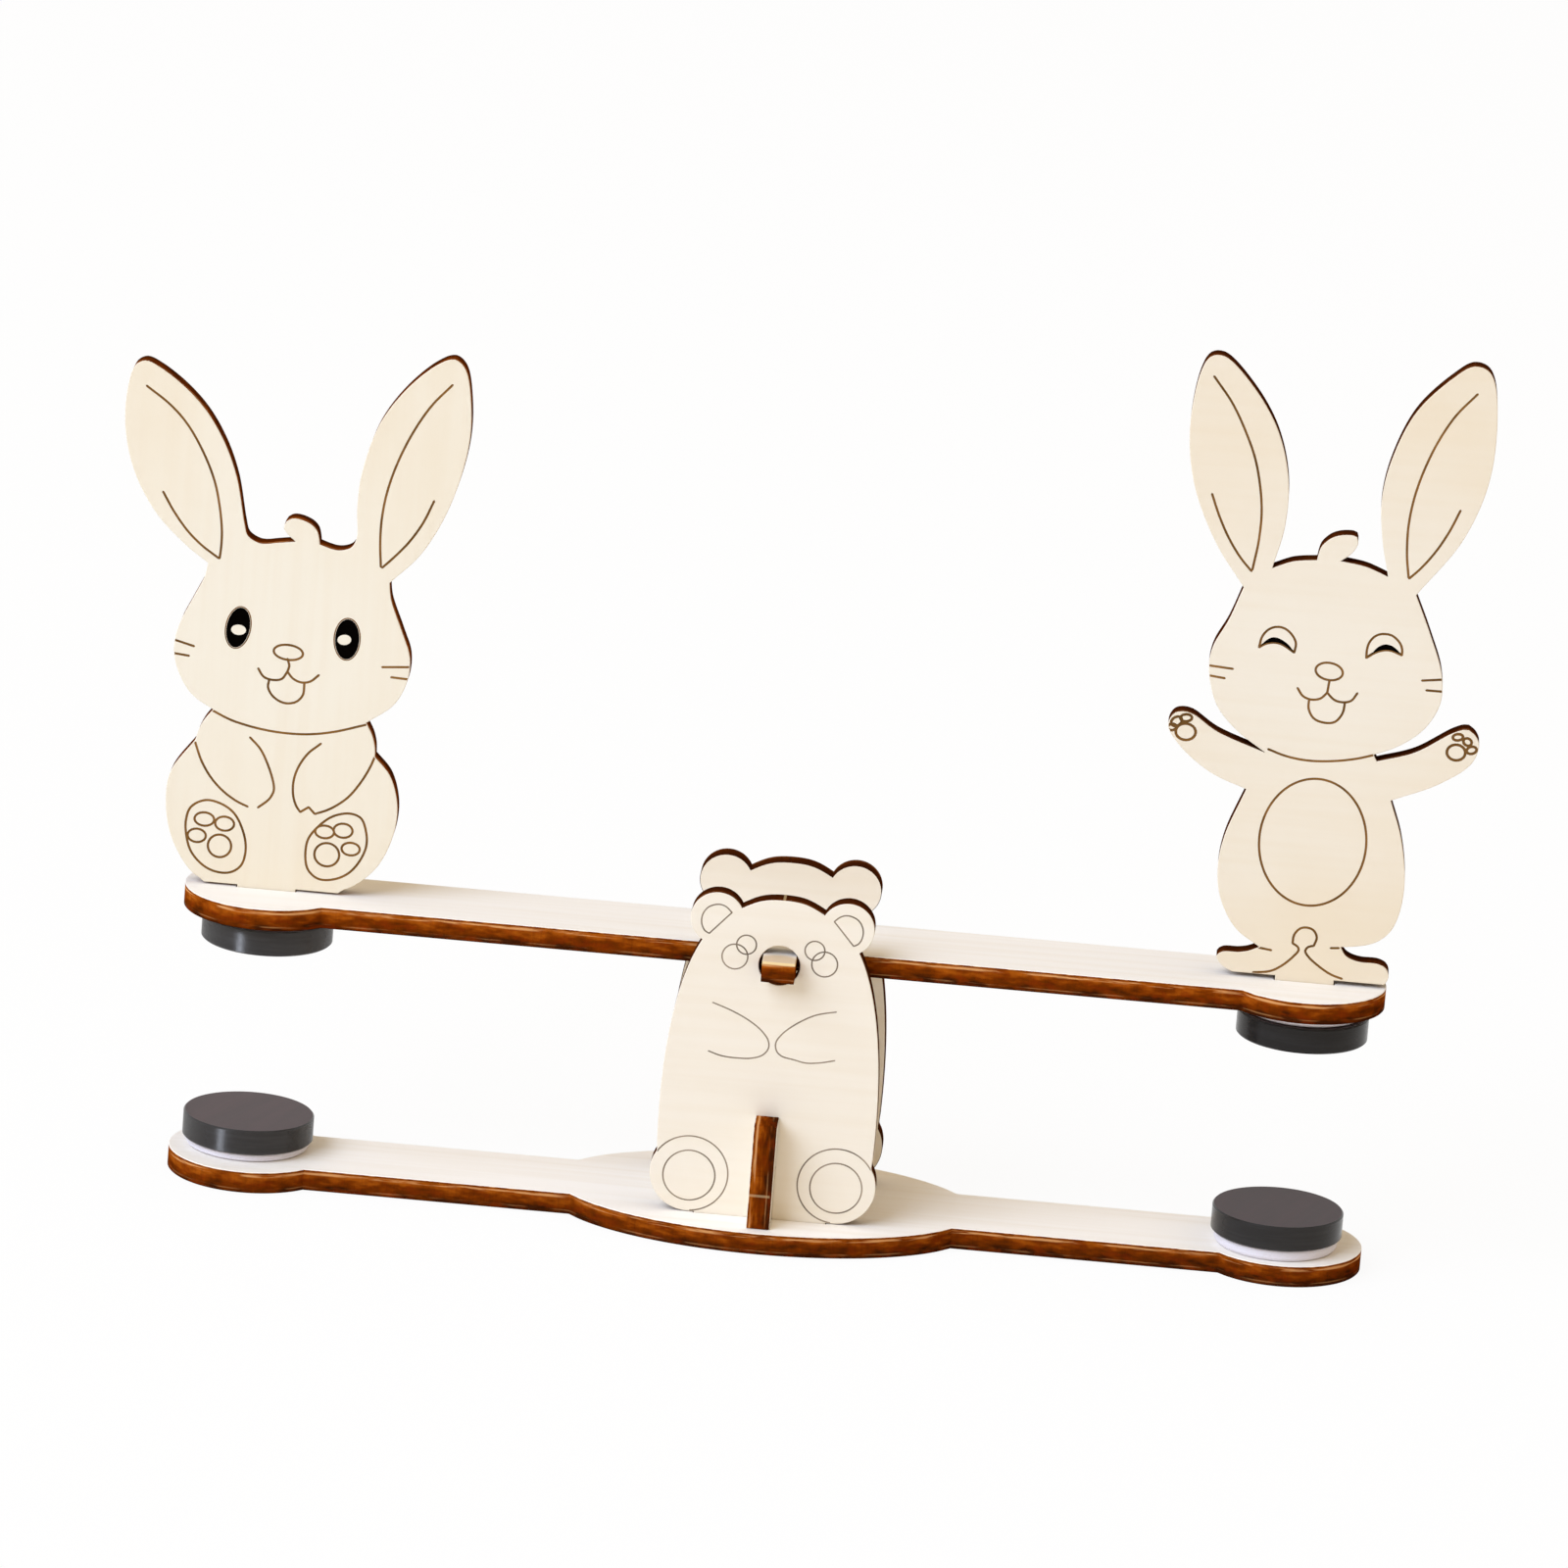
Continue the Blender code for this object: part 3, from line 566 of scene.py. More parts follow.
def standing_drawing():
    drawn = curves(STANDING_LINES) + ovals(STANDING_OVALS) + ovals(STANDING_PALMS, BOLD)
    drawn += curves(STANDING_LIDS) + curves((under for over, under in STANDING_EYES), BOLD)
    pockets = []
    for over, under in STANDING_EYES:
        crescent = smooth_path(over, LINE_STEP)[:-1] + smooth_path(under, LINE_STEP)[:-1]
        pockets.append((crescent[::-1], []))
    return Engraving(drawn, pockets)


def bear_drawing():
    u, v, radius = BEAR_FOOT
    first, last = (math.radians(a) for a in BEAR_FOOT_ARC)
    steps = round((last - first) * radius / LINE_STEP)
    angles = [first + (last - first) * i / steps for i in range(steps + 1)]
    foot = [(u + radius * math.cos(a), v + radius * math.sin(a)) for a in angles]
    drawn = curves((BEAR_LEFT_ARM, BEAR_RIGHT_ARM))
    for side in (list, mirrored):
        drawn += curves((side(BEAR_EAR), side((BEAR_EAR[-1], BEAR_EAR[0]))))
        for path in (foot, *(oval(*shape) for shape in BEAR_OVALS)):
            drawn.append(Stroke([Vector(p) for p in side(path)], 1.0))
    return Engraving(drawn, ())


def placed(engraving, u, v):
    """The drawing moved to its place on a plate, in millimetres."""
    shift = Vector((u, v))
    moved = [Stroke([p + shift for p in stroke.path], stroke.weight) for stroke in engraving.strokes]
    pockets = [([p + shift for p in edge], [[p + shift for p in isle] for isle in isles])
               for edge, isles in engraving.pockets]
    return Engraving(moved, pockets)


def chained(following):
    """Closed loops of corners, from each corner's follower."""
    loops = []
    while following:
        start, corner = following.popitem()
        loop = [start]
        while corner != start:
            loop.append(corner)
            corner = following.pop(corner)
        loops.append(loop)
    return loops


def cut_loops(node, across, along):
    """Outlines of a plate's outer face, material on their left, and its faces' heights, in millimetres."""
    out = across.cross(along)
    bm = bmesh.new()
    bm.from_mesh(frame["nodes"][node].data)
    bmesh.ops.remove_doubles(bm, verts=bm.verts, dist=WELD)
    heights = [v.co.dot(out) for v in bm.verts]
    front, back = max(heights), min(heights)
    face = dict.fromkeys(f for f in bm.faces if all(front - v.co.dot(out) < WELD for v in f.verts))
    following = {}
    for f in face:
        for corner in f.loops:
            if not any(other in face for other in corner.edge.link_faces if other is not f):
                following[corner.vert] = corner.link_loop_next.vert
    loops = [[Vector((v.co.dot(across), v.co.dot(along))) / MM for v in loop] for loop in chained(following)]
    bm.free()
    return loops, front / MM, back / MM


def is_corner(before, point, after):
    turn = abs((point - before).angle_signed(after - point))
    runs = sorted(((point - before).length, (after - point).length))
    return turn > OUTLINE_CORNER or runs[1] > UNEVEN * runs[0]


def refined(loop):
    """An outline, its round stretches drawn finer through the same points. Corners and straight runs stay."""
    count = len(loop)
    corners = [i for i in range(count) if is_corner(loop[i - 1], loop[i], loop[(i + 1) % count])]
    if not corners:
        return smooth_path(loop, OUTLINE_STEP, closed=True)[:-1]
    outline = []
    for first, last in zip(corners, corners[1:] + [corners[0] + count]):
        outline += smooth_path([loop[i % count] for i in range(first, last + 1)], OUTLINE_STEP)[:-1]
    return outline


def moved_left(loop, distance):
    """A closed loop moved to its left, with mitred corners."""
    moved = []
    for i, point in enumerate(loop):
        into = (point - loop[i - 1]).normalized()
        out = (loop[(i + 1) % len(loop)] - point).normalized()
        mitre = (into + out).orthogonal()
        moved.append(point + mitre * (2 * distance / max(mitre.length_squared, MITRE_LIMIT)))
    return moved


def ribbon(path, half):
    """Outline of a line, anticlockwise, with a pointed tip past each end."""
    last = len(path) - 1
    ways = [(path[min(i + 1, last)] - path[max(i - 1, 0)]).normalized() for i in range(last + 1)]
    left = [p + way.orthogonal() * half for p, way in zip(path, ways)]
    right = [p - way.orthogonal() * half for p, way in zip(path, ways)]
    return right + [path[-1] + ways[-1] * half] + left[::-1] + [path[0] - ways[0] * half]


def distance_to(points, paths):
    """Distance from each point to the nearest of the paths."""
    nearest = np.full(len(points), np.inf)
    for path in paths:
        knots = np.array([tuple(p) for p in path])
        for start, end in zip(knots[:-1], knots[1:]):
            run = end - start
            share = np.clip(((points - start) @ run) / (run @ run), 0, 1)
            gap = np.linalg.norm(points - start - share[:, None] * run, axis=1)
            nearest = np.minimum(nearest, gap)
    return nearest


def engraved_face(loops, engraving, line_width, line_depth, pocket_depth):
    """Triangles of a plate's face with its drawing cut in: points, depths, triangles and their finishes."""
    points, edges, faces, roles = [], [], [], []

    def lay(loop, role=None, closed=True):
        first = len(points)
        points.extend(loop)
        ids = list(range(first, len(points)))
        if role:
            faces.append(ids)
            roles.append(role)
        else:
            edges.extend(zip(ids, ids[1:] + ids[:1] if closed else ids[1:]))

    for loop in loops:
        area = sum(a.cross(b) for a, b in zip(loop, loop[1:] + loop[:1]))
        lay(loop if area > 0 else loop[::-1], "sheet" if area > 0 else "hole")
    for path, weight in engraving.strokes:
        middle = len(path) // 2
        # a line that returns to its start is laid in two halves, so that no ribbon overlaps itself
        for part in (path[:middle + 1], path[middle:]) if path[0] == path[-1] else (path,):
            lay(ribbon(part, weight * line_width / 2), "line")
            lay(part, closed=False)
    for edge, isles in engraving.pockets:
        lay(edge, "pocket")
        lay(moved_left(edge, POCKET_WALL))
        for isle in isles:
            lay(isle, "isle")
            lay(moved_left(isle, -POCKET_WALL))
    flat, _, triangles, _, _, origins = delaunay_2d_cdt(points, edges, faces, 1, WELD, True)

    kept, finishes = [], []
    for triangle, origin in zip(triangles, origins):
        found = {roles[i] for i in origin}
        if "sheet" in found and "hole" not in found:
            kept.append(triangle)
            sunk = "pocket" in found and "isle" not in found
            finishes.append(POCKET if sunk else LINE if "line" in found else VENEER)
    places = np.array([tuple(p) for p in flat])
    depths = np.zeros(len(flat))
    for weight in sorted({stroke.weight for stroke in engraving.strokes}):
        paths = [stroke.path for stroke in engraving.strokes if stroke.weight == weight]
        share = 1 - distance_to(places, paths) / (weight * line_width / 2)
        depths = np.maximum(depths, line_depth * np.clip(share, 0, 1))
    if engraving.pockets:
        rims = [loop + loop[:1] for edge, isles in engraving.pockets for loop in (edge, *isles)]
        sunk = sorted({i for t, finish in zip(kept, finishes) if finish == POCKET for i in t})
        share = np.clip(distance_to(places[sunk], rims) / POCKET_WALL, 0, 1)
        depths[sunk] = np.maximum(depths[sunk], pocket_depth * share)
    return flat, depths, kept, finishes


def border_loops(triangles, points, seam):
    """Border of a triangulated face, material on its left, each loop from its end along the seam."""
    following = {}
    for triangle in triangles:
        for i in range(3):
            following.setdefault(triangle[i], set()).add(triangle[(i + 1) % 3])
    border = {start: end for start, ends in following.items() for end in ends
              if start not in following.get(end, ())}
    loops = []
    for loop in chained(border):
        first = max(range(len(loop)), key=lambda i: points[loop[i]].dot(seam))
        loops.append(loop[first:] + loop[:first])
    return loops


class PlateMesh:
    """Collects one plate's corners, faces, finishes and edge coordinates, in the sheet's own millimetres."""

    def __init__(self, across, along, front):
        self.across, self.along, self.out = across, along, across.cross(along)
        self.front = front
        self.corners, self.depths = [], []
        self.faces, self.finishes, self.edge_places, self.round = [], [], [], []

    def corner(self, point, depth):
        spot = self.across * point[0] + self.along * point[1] + self.out * (self.front - depth)
        self.corners.append(spot * MM)
        self.depths.append(depth)
        return len(self.corners) - 1

    def face(self, ids, finish, places, is_round=False):
        self.faces.append(ids)
        self.finishes.append(finish)
        self.edge_places += [(u * MM, v * MM) for u, v in places]
        self.round.append(is_round)

    def wall(self, upper, lower, lengths, finish=CHAR):
        """A band of edge faces between two rows of corners, at these lengths round the plate."""
        for i in range(len(upper)):
            j = (i + 1) % len(upper)
            ids = (upper[i], lower[i], lower[j], upper[j])
            ways = (lengths[i], lengths[i], lengths[i + 1], lengths[i + 1])
            self.face(ids, finish, [(way, self.depths[k]) for way, k in zip(ways, ids)], True)

    def piece(self, name, materials):
        mesh = bpy.data.meshes.new(name)
        mesh.from_pydata(self.corners, [], self.faces)
        for material in materials:
            mesh.materials.append(material)
        mesh.polygons.foreach_set("material_index", self.finishes)
        places = mesh.uv_layers.new(name="cut edge")
        places.data.foreach_set("uv", [c for place in self.edge_places for c in place])
        mesh.set_sharp_from_angle(angle=EDGE_SHARP)
        mesh.polygons.foreach_set("use_smooth", self.round)
        mesh.validate()
        return new_object(name, mesh)


def new_object(name, data):
    """An object of this data at the origin, in the scene."""
    new = bpy.data.objects.new(name, data)
    bpy.context.scene.collection.objects.link(new)
    return new


def dress(piece, node):
    """The piece stands for its node, on the node's body, and the node is hidden."""
    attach(piece, BODY_OF[node])
    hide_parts(node)


def plate_materials(node, wood, finish):
    """A plate's materials, in the order of their numbers: only the first two if it has no drawing."""
    low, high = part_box(node)
    thickness = min(high - low)
    yield new_material(f"basswood veneer {node}", basswood_veneer, wood, finish)
    yield new_material(f"laser-charred plywood {node}", charred_edge, wood, thickness, finish)
    if finish.engraving:
        yield new_material(f"engraved basswood {node}", burnt_wood, finish.engraving, LINE_PATCH)
        yield new_material(f"burnt-out basswood {node}", burnt_wood, wood.black, POCKET_PATCH)


def cut_plate(node, across, along, wood, finish, engraving=NO_ENGRAVING, line_width=0.0, swell=0.0,
              sole=None):
    """Makes a plywood plate cut to its node's outline, with softened arrises and its drawing.

    Its sheet may be swollen on both faces, and its soles at a height let down nearly to the beam.
    """
    outlines, front, back = cut_loops(node, across, along)
    front, back = front + swell, back - swell
    if sole:
        drop = Vector((0, SOLE_DROP))
        outlines = [[p - drop if abs(p.y - sole) < SOLE_SLACK else p for p in loop] for loop in outlines]
    # the char's pattern has its seam at a plank's back or an upright's foot
    seam = Vector((0, 1 if along == BACK else -1))
    arris, thickness = wood.arris / MM, front - back
    loops = [moved_left(refined(loop), arris) for loop in outlines]
    flat, depths, triangles, kinds = engraved_face(
        loops, engraving, line_width / MM, wood.line_depth / MM, wood.pocket_depth / MM)
    plate = PlateMesh(across, along, front)
    ids = {i: plate.corner(flat[i], depths[i]) for i in sorted({i for t in triangles for i in t})}
    for triangle, kind in zip(triangles, kinds):
        plate.face([ids[i] for i in triangle], kind, [flat[i] for i in triangle])

    rims, under_corners = [], {}
    for loop in border_loops(triangles, flat, seam):
        rim = [flat[i] for i in loop]
        cut = moved_left(rim, -arris)
        lengths = [0.0]
        for a, b in zip(cut, cut[1:] + cut[:1]):
            lengths.append(lengths[-1] + (b - a).length)
        upper = [plate.corner(p, arris + depths[i]) for p, i in zip(cut, loop)]
        lower = [plate.corner(p, thickness - arris) for p in cut]
        under = [plate.corner(p, thickness) for p in rim]
        plate.wall([ids[i] for i in loop], upper, lengths, VENEER)
        plate.wall(upper, lower, lengths)
        plate.wall(lower, under, lengths)
        rims.append(rim)
        under_corners.update(zip(map(tuple, rim), under))
    flat_back, _, back_triangles, _ = engraved_face(rims, NO_ENGRAVING, 0, 0, 0)
    for triangle in back_triangles:
        places = [tuple(flat_back[i]) for i in reversed(triangle)]
        plate.face([under_corners[place] for place in places], VENEER, places)
    dress(plate.piece(f"{node}_cut", plate_materials(node, wood, finish)), node)


def rabbit_origin(node):
    """Middle of a rabbit's feet: over its tab, which is as long as the sheet is thick. In millimetres."""
    low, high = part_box(node)
    tab = [v.co.x for v in frame["nodes"][node].data.vertices if v.co.z - low.z < WELD]
    return (min(tab) + max(tab)) / 2 / MM, (low.z + high.y - low.y) / MM


def engrave_rabbit(node, wood, drawing, face_height, veneer, grain_axis, burn, let_down=False):
    """Cuts a rabbit with its drawing over the middle of its feet, and its veneer palest on its face."""
    u, v = rabbit_origin(node)
    # veneers are measured from mirror images, so this place is the right-hand one
    face = (abs(u) * MM, 0.0, (v + face_height) * MM)
    finish = Finish(veneer, grain_axis, flush=0.48, char=Char(burn), engraving=wood.rabbit_burn,
                    pale_middle=face)
    cut_plate(node, RIGHT, UP, wood, finish, placed(drawing, u, v), wood.rabbit_line,
              sole=v + SOLE if let_down else None)


class SEESAW_OT_planks(bpy.types.Operator):
    """Cut the base plank and the beam plank"""

    bl_idname = "seesaw.planks"
    bl_label = "Planks"

    def execute(self, context):
        wood = context.scene.seesaw_wood
        # trunnion ends: toasted top face partly painted shade, bare top strip of the end partly painted highlight
        trunnion_toast_and_highlight = BareSpot((0.0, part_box("beam_plank")[1].y, 0.0), axes=(1, 1, 0),
                                reach=TRUNNION_BARE * MM, depth=0.18, share=1.0)
        char = Char(burn=0.1, drift=0.12, blotch_mm=PLANK_BLOTCH)
        cut_plate("base_plank", RIGHT, BACK, wood, Finish(wood.base, ALONG_X, flush=0.08, char=char))
        char = Char(burn=0.0, drift=0.06, blotch_mm=PLANK_BLOTCH)
        finish = Finish(wood.beam, ALONG_X, flush=0.08, char=char, bare_spot=trunnion_toast_and_highlight)
        cut_plate("beam_plank", RIGHT, BACK, wood, finish)
        return {"FINISHED"}


class SEESAW_OT_bears(bpy.types.Operator):
    """Cut the two bear plates, each engraved on its outer face"""

    bl_idname = "seesaw.bears"
    bl_label = "Bear plates"

    def execute(self, context):
        wood = context.scene.seesaw_wood
        drawing = placed(bear_drawing(), 0, PIVOT.z / MM)
        nib = BareSpot((0.0, 0.0, PIVOT.z + BEAR_NIB_HEIGHT * MM), axes=(1, 0, 1), reach=wood.nib, depth=1.0,
                       share=0.35)
        for node, across, bare_spot in (("bear_plate_front", RIGHT, nib), ("bear_plate_rear", -RIGHT, None)):
            finish = Finish(wood.bear, ALONG_X, flush=0.14, char=Char(burn=0.75), engraving=wood.bear_burn,
                            bare_spot=bare_spot)
            cut_plate(node, across, UP, wood, finish, drawing, wood.bear_line)
        return {"FINISHED"}


class SEESAW_OT_brace(bpy.types.Operator):
    """Cut the cross brace"""

    bl_idname = "seesaw.brace"
    bl_label = "Cross brace"

    def execute(self, context):
        wood = context.scene.seesaw_wood
        node = "cross_brace"
        nib = BareSpot((0.0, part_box(node)[1].y, BRACE_NIB_HEIGHT * MM), axes=(0, 1, 1), reach=wood.nib,
                       depth=1.0, share=0.25)
        char = Char(burn=0.12, blotch_mm=BRACE_BLOTCH, arris=0.0)
        finish = Finish(wood.bear, ALONG_Z, flush=0.16, char=char, bare_spot=nib)
        cut_plate(node, -BACK, UP, wood, finish, swell=SLOT_FILL)
        return {"FINISHED"}


class SEESAW_OT_sitting_rabbit(bpy.types.Operator):
    """Cut and engrave the sitting rabbit"""

    bl_idname = "seesaw.sitting_rabbit"
    bl_label = "Sitting rabbit"

    def execute(self, context):
        wood = context.scene.seesaw_wood
        engrave_rabbit("rabbit_sitting", wood, sitting_drawing(), SITTING_FACE, wood.sitting, ALONG_Z,
                       burn=0.35, let_down=True)
        return {"FINISHED"}


class SEESAW_OT_standing_rabbit(bpy.types.Operator):
    """Cut and engrave the standing rabbit"""

    bl_idname = "seesaw.standing_rabbit"
    bl_label = "Standing rabbit"

    def execute(self, context):
        wood = context.scene.seesaw_wood
        engrave_rabbit("rabbit_standing", wood, standing_drawing(), STANDING_FACE, wood.standing, ALONG_X,
                       burn=0.75)
        return {"FINISHED"}


def turning_tree():
    """Turns a half profile, drawn beside the Z axis, round it, with an uneven rim and two finishes."""
    tree = bpy.data.node_groups.new("turned disc", "GeometryNodeTree")
    ports = {"Profile": "Geometry", "Centre": "Vector", "Steps": "Int", "Rim Radius": "Float",
             "Raggedness": "Float", "Rag Scale": "Float", "Seed": "Float", "Face": "Material",
             "Side": "Material"}
    for name, kind in ports.items():
        tree.interface.new_socket(name, in_out="INPUT", socket_type=f"NodeSocket{kind}")
    tree.interface.new_socket("Disc", in_out="OUTPUT", socket_type="NodeSocketGeometry")
    given = tree.nodes.new("NodeGroupInput").outputs
    add = partial(add_node, tree)

    # one column of the grid is the profile, and each column is turned a step further
    rows = add("GeometryNodeAttributeDomainSize", given["Profile"])
    columns = add("Math", given["Steps"], 1.0, operation="ADD")
    grid = add("GeometryNodeMeshGrid", Vertices_X=columns, Vertices_Y=rows)
    index = add("GeometryNodeInputIndex")
    row = add("FunctionNodeIntegerMath", index, rows, operation="MODULO")
    column = add("FunctionNodeIntegerMath", index, rows, operation="DIVIDE")
    turns = add("Math", column, given["Steps"], operation="DIVIDE")
    angle = add("Math", turns, 2 * math.pi, operation="MULTIPLY")
    spot = add("GeometryNodeInputPosition")
    drawn = add("GeometryNodeSampleIndex", given["Profile"], spot, row, data_type="FLOAT_VECTOR")
    turned = add("VectorRotate", drawn, Angle=angle, rotation_type="Z_AXIS")
    swept = add("GeometryNodeSetPosition", grid, Position=turned)
    welded = add("GeometryNodeMergeByDistance", swept, Distance=2 * WELD)

    # uneven rim
    level = add("VectorMath", spot, (1.0, 1.0, 0.0), operation="MULTIPLY")
    radius = add("VectorMath", level, operation="LENGTH")
    reach = add("Math", radius, given["Rim Radius"], operation="DIVIDE")
    at_rim = add("MapRange", reach, 0.9, 1.0, 0.0, given["Raggedness"])
    noise = add("TexNoise", spot, given["Seed"], given["Rag Scale"], 2.0, noise_dimensions="4D")
    ragged = add("Math", noise, at_rim, operation="MULTIPLY")
    outward = add("VectorMath", level, operation="NORMALIZE")
    sunk = add("VectorMath", outward, ragged, operation="SCALE")
    shift = add("VectorMath", given["Centre"], sunk, operation="SUBTRACT")
    settled = add("GeometryNodeSetPosition", welded, Offset=shift)

    # one finish on the flat faces and one round the side
    realized = add("GeometryNodeRealizeInstances", settled)
    sided = add("GeometryNodeSetMaterial", realized, Material=given["Side"])
    tilt = add("SeparateXYZ", add("GeometryNodeInputNormal"), out="Z")
    flatness = add("Math", tilt, operation="ABSOLUTE")
    is_flat = add("FunctionNodeCompare", flatness, 0.95, operation="GREATER_THAN")
    faced = add("GeometryNodeSetMaterial", sided, Selection=is_flat, Material=given["Face"])
    add("NodeGroupOutput", faced)
    return tree


def turned_piece(name, tree, profile, inputs):
    """A disc turned by the tree from its half profile of (radius, height) points, as a plain mesh."""
    draft_mesh = bpy.data.meshes.new(f"{name} profile")
    draft_mesh.from_pydata([(r, 0.0, z) for r, z in profile], [], [])
    draft = new_object(f"{name} draft", draft_mesh)
    turning = draft.modifiers.new("turning", "NODES")
    turning.node_group = tree
    sockets = {item.name: item.identifier for item in tree.interface.items_tree}
    for socket, value in inputs.items():
        turning[sockets[socket]] = value
    evaluated = draft.evaluated_get(bpy.context.evaluated_depsgraph_get())
    mesh = bpy.data.meshes.new_from_object(evaluated)
    bpy.data.objects.remove(draft)
    bpy.data.meshes.remove(draft_mesh)
    mesh.name = name
    bm = bmesh.new()
    bm.from_mesh(mesh)
    bmesh.ops.recalc_face_normals(bm, faces=bm.faces)
    bm.to_mesh(mesh)
    bm.free()
    mesh.shade_smooth()
    mesh.set_sharp_from_angle(angle=EDGE_SHARP)
    return new_object(name, mesh)


DISCS = [f"{place}_{{}}_{side}" for place in ("base", "beam") for side in ("left", "right")]
DISC_STEPS = 128
MAGNET_FALLOFF_SHADES = (1.0, 0.78, 1.0, 0.6)        # painted shade: how far each disc's colour and sheen are darkened, in their order, for light falling off to the right
MAGNET_GROOVES = (0.028, 0.01, 0.03, 0.01)  # and how deeply its side is ground, in millimetres
GRINDING = math.radians(-21)                # turn of the streaks on a magnet's faces, from straight back
FACE_STREAK, SIDE_STREAK = (2.5, 25.0, 9.0), (9.0, 9.0, 0.6)  # the streaks' sizes, in millimetres
FACE_GROOVE = 0.01
FACE_ROUGHNESS, SIDE_ROUGHNESS = 0.55, 0.2
MAGNET_RAG = 0.02                           # unevenness of a magnet's rim, in millimetres
MAGNET_RAG_SIZE, PAD_RAG_SIZE = 3.0, 1.6    # and how long the dents in a rim are


def disc_place(node):
    """Radius and height of a disc's node, and the middle of its underside."""
    low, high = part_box(node)
    return (high.x - low.x) / 2, high.z - low.z, ((low.x + high.x) / 2, (low.y + high.y) / 2, low.z)


def ground_profile(radius, height, chamfer, pitch, groove):
    """Half profile of a magnet, with chamfered edges and grooves all the way up its side."""
    count = 2 * round((height - 2 * chamfer) / pitch)
    rise = (height - 2 * chamfer) / count
    side = [(radius - groove * (i % 2), chamfer + rise * i) for i in range(count + 1)]
    return [(0, 0), (radius - chamfer, 0), *side, (radius - chamfer, height), (0, height)]


class SEESAW_OT_magnets(bpy.types.Operator):
    """Turn the four disc magnets"""

    bl_idname = "seesaw.magnets"
    bl_label = "Magnets"

    def execute(self, context):
        magnets = context.scene.seesaw_magnets
        tree = turning_tree()
        for seed, (disc, falloff_shade, groove) in enumerate(zip(DISCS, MAGNET_FALLOFF_SHADES, MAGNET_GROOVES)):
            node = disc.format("magnet")
            radius, height, centre = disc_place(node)
            profile = ground_profile(radius, height, magnets.chamfer, magnets.groove_pitch, groove * MM)
            face = new_material(f"ground ferrite face {node}", sintered_ferrite, magnets.face, falloff_shade,
                                FACE_STREAK, GRINDING, FACE_GROOVE, FACE_ROUGHNESS)
            side = new_material(f"ground ferrite side {node}", sintered_ferrite, magnets.side, falloff_shade,
                                SIDE_STREAK, 0.0, 0.0, SIDE_ROUGHNESS)
            piece = turned_piece(f"{node}_turned", tree, profile, {
                "Centre": centre, "Steps": DISC_STEPS, "Rim Radius": radius, "Raggedness": MAGNET_RAG * MM,
                "Rag Scale": 1 / (MAGNET_RAG_SIZE * MM), "Seed": float(seed), "Face": face, "Side": side})
            dress(piece, node)
        return {"FINISHED"}


def punched_profile(radius, height, bulge, undercut):
    """Half profile of a pad: its rim swells with a crease half way up and is undercut at its foot."""
    rows = 10
    rim = []
    for i in range(rows + 1):
        share = i / rows
        crease = 0.45 * math.exp(-((share - 0.5) / 0.1) ** 2)
        swell = bulge * (math.sin(math.pi * share) ** 0.6 - crease)
        rim.append((radius - bulge + swell - undercut * max(0.0, 1 - 4 * share), height * share))
    return [(0, 0), *rim, (0, height)]


class SEESAW_OT_pads(bpy.types.Operator):
    """Punch the four foam pads between the magnets and the planks"""

    bl_idname = "seesaw.pads"
    bl_label = "Foam pads"

    def execute(self, context):
        magnets = context.scene.seesaw_magnets
        foam = new_material("white foam tape", adhesive_foam, magnets.foam)
        tree = turning_tree()
        for seed, disc in enumerate(DISCS):
            node = disc.format("pad")
            radius, height, centre = disc_place(node)
            profile = punched_profile(radius, height, magnets.pad_bulge, magnets.pad_undercut)
            piece = turned_piece(f"{node}_punched", tree, profile, {
                "Centre": centre, "Steps": DISC_STEPS, "Rim Radius": radius, "Raggedness": magnets.pad_rag,
                "Rag Scale": 1 / (PAD_RAG_SIZE * MM), "Seed": 10.0 + seed, "Face": foam, "Side": foam})
            dress(piece, node)
        return {"FINISHED"}


def studio_floor(add, shade, glow):
    """Matt pale floor that keeps the model's shadow and looks nearly white to the camera."""
    matt = add("BsdfDiffuse", shade)
    white = add("Emission", WHITE, 1.0)
    share = add("Math", seen_ray(add), glow, operation="MULTIPLY")
    return add("MixShader", share, matt, white)


def seen_ray(add):
    """1 for what the camera, a reflection or a clear material sees, and 0 for plain lighting."""
    seen = add("LightPath", out="Is Camera Ray")
    for other in ("Is Glossy Ray", "Is Transmission Ray"):
        seen = add("Math", seen, add("LightPath", out=other), operation="MAXIMUM")
    return seen


def white_world(sky, tint):
    """Even light all round, and plain white where the camera sees past the floor."""
    world = bpy.data.worlds.new("white studio")
    add = blank_tree(world)
    lit = add("Background", tint, sky)
    shown = add("Background", WHITE, 1.0)
    add("OutputWorld", add("MixShader", seen_ray(add), lit, shown))
    bpy.context.scene.world = world


def softbox(name, place, size, power, tint, shines):
    """A soft lamp of this width and height that faces the model, and only shines in it or only lights it."""
    lamp = bpy.data.lights.new(name, "AREA")
    lamp.shape = "RECTANGLE"
    lamp.size, lamp.size_y = size
    lamp.energy = power
    lamp.color = tint
    box = new_object(name, lamp)
    box.location = place
    box.rotation_euler = (LIT_POINT - Vector(place)).to_track_quat("-Z", "Y").to_euler()
    box.visible_glossy = shines
    box.visible_diffuse = not shines


def lay_floor(stage):
    mesh = bpy.data.meshes.new("floor")
    sides = ((-1, -1), (1, -1), (1, 1), (-1, 1))
    corners = [(u * FLOOR_REACH, v * FLOOR_REACH, -FLOOR_DROP) for u, v in sides]
    mesh.from_pydata(corners, [], [range(4)])
    mesh.materials.append(new_material("matt studio floor", studio_floor, stage.floor, stage.glow))
    floor = new_object("floor", mesh)


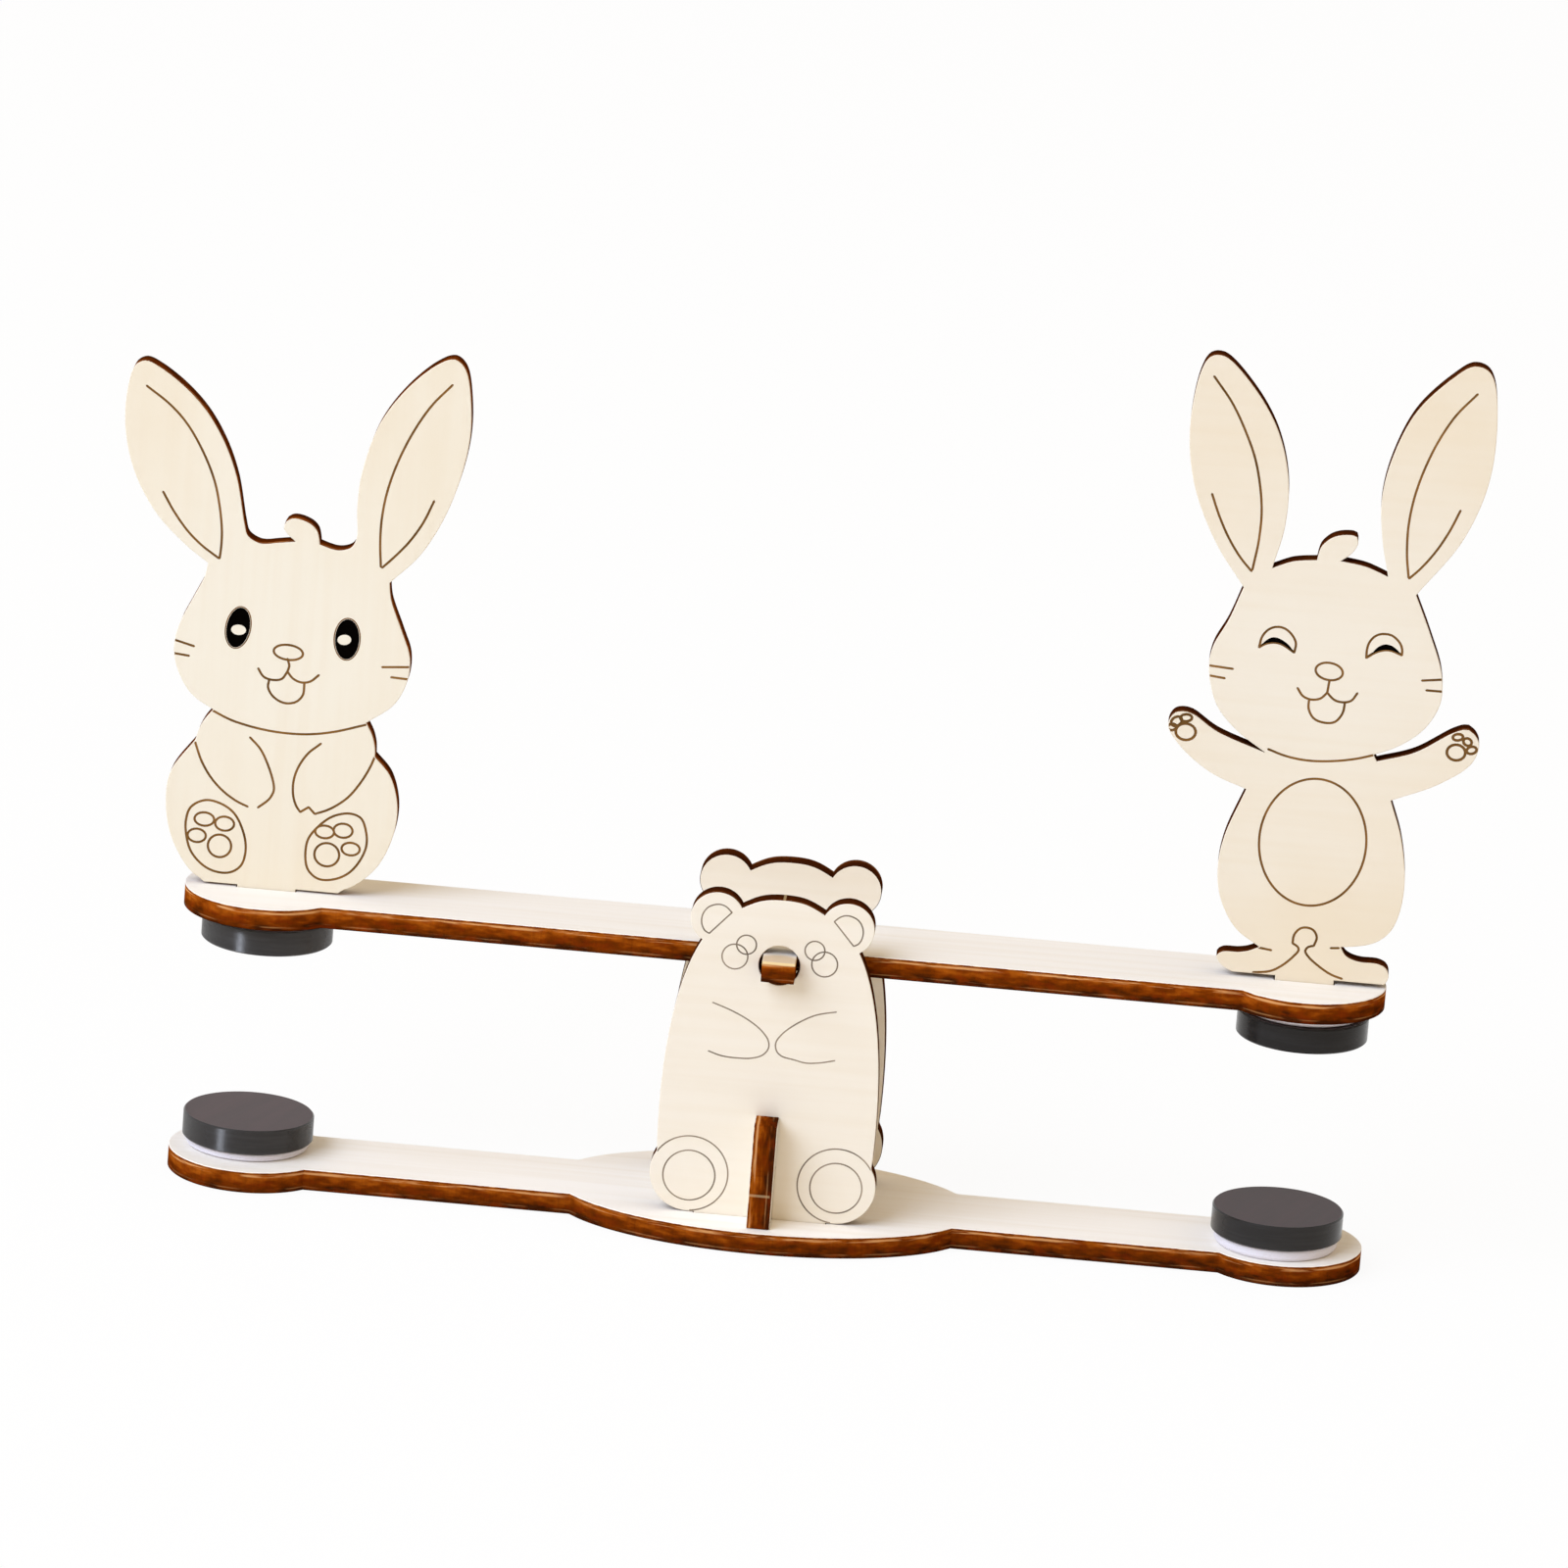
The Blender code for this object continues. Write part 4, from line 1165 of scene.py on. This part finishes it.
def set_camera(scene, stage):
    lens = bpy.data.cameras.new("camera")
    lens.sensor_width = 36.0
    lens.lens = stage.lens
    lens.clip_start, lens.clip_end = 0.05, 50.0
    turn = Matrix.Translation(stage.aim)
    for angle, axis in ((stage.yaw, "Z"), (math.pi / 2 - stage.elevation, "X"), (-stage.roll, "Z")):
        turn @= Matrix.Rotation(angle, 4, axis)
    scene.camera = new_object("camera", lens)
    scene.camera.matrix_world = turn @ Matrix.Translation((0, 0, stage.distance))


class SEESAW_OT_stage(bpy.types.Operator):
    """Set up the floor, the lights and the camera"""

    bl_idname = "seesaw.stage"
    bl_label = "Stage"

    def execute(self, context):
        stage = context.scene.seesaw_stage
        context.scene.view_settings.view_transform = "Standard"
        lay_floor(stage)
        white_world(stage.sky, stage.sky_tint)
        softbox("key softbox", KEY_PLACE, KEY_SIZE, stage.key, stage.key_tint, shines=False)
        softbox("sheen strip", SHEEN_PLACE, SHEEN_SIZE, stage.sheen, stage.key_tint, shines=True)
        set_camera(context.scene, stage)
        return {"FINISHED"}


OPERATORS = (SEESAW_OT_planks, SEESAW_OT_bears, SEESAW_OT_brace, SEESAW_OT_sitting_rabbit,
             SEESAW_OT_standing_rabbit, SEESAW_OT_magnets, SEESAW_OT_pads, SEESAW_OT_stage)


class SEESAW_PT_maker(bpy.types.Panel):
    """Lists the seesaw's pieces in the sidebar"""

    bl_label = "Seesaw"
    bl_space_type = "VIEW_3D"
    bl_region_type = "UI"
    bl_category = "Seesaw"

    def draw(self, context):
        for operator in OPERATORS:
            self.layout.operator(operator.bl_idname)


SETTINGS = {"seesaw_wood": SeesawWood, "seesaw_magnets": SeesawMagnets, "seesaw_stage": SeesawStage}


def register():
    for cls in (*SETTINGS.values(), *OPERATORS, SEESAW_PT_maker):
        bpy.utils.register_class(cls)
    for name, group in SETTINGS.items():
        setattr(bpy.types.Scene, name, PointerProperty(type=group))


def unregister():
    for name in SETTINGS:
        delattr(bpy.types.Scene, name)
    for cls in (SEESAW_PT_maker, *reversed(OPERATORS), *reversed(SETTINGS.values())):
        bpy.utils.unregister_class(cls)


def main():
    register()
    for operator in OPERATORS:
        module, name = operator.bl_idname.split(".")
        getattr(getattr(bpy.ops, module), name)()


if __name__ == "__main__":
    main()
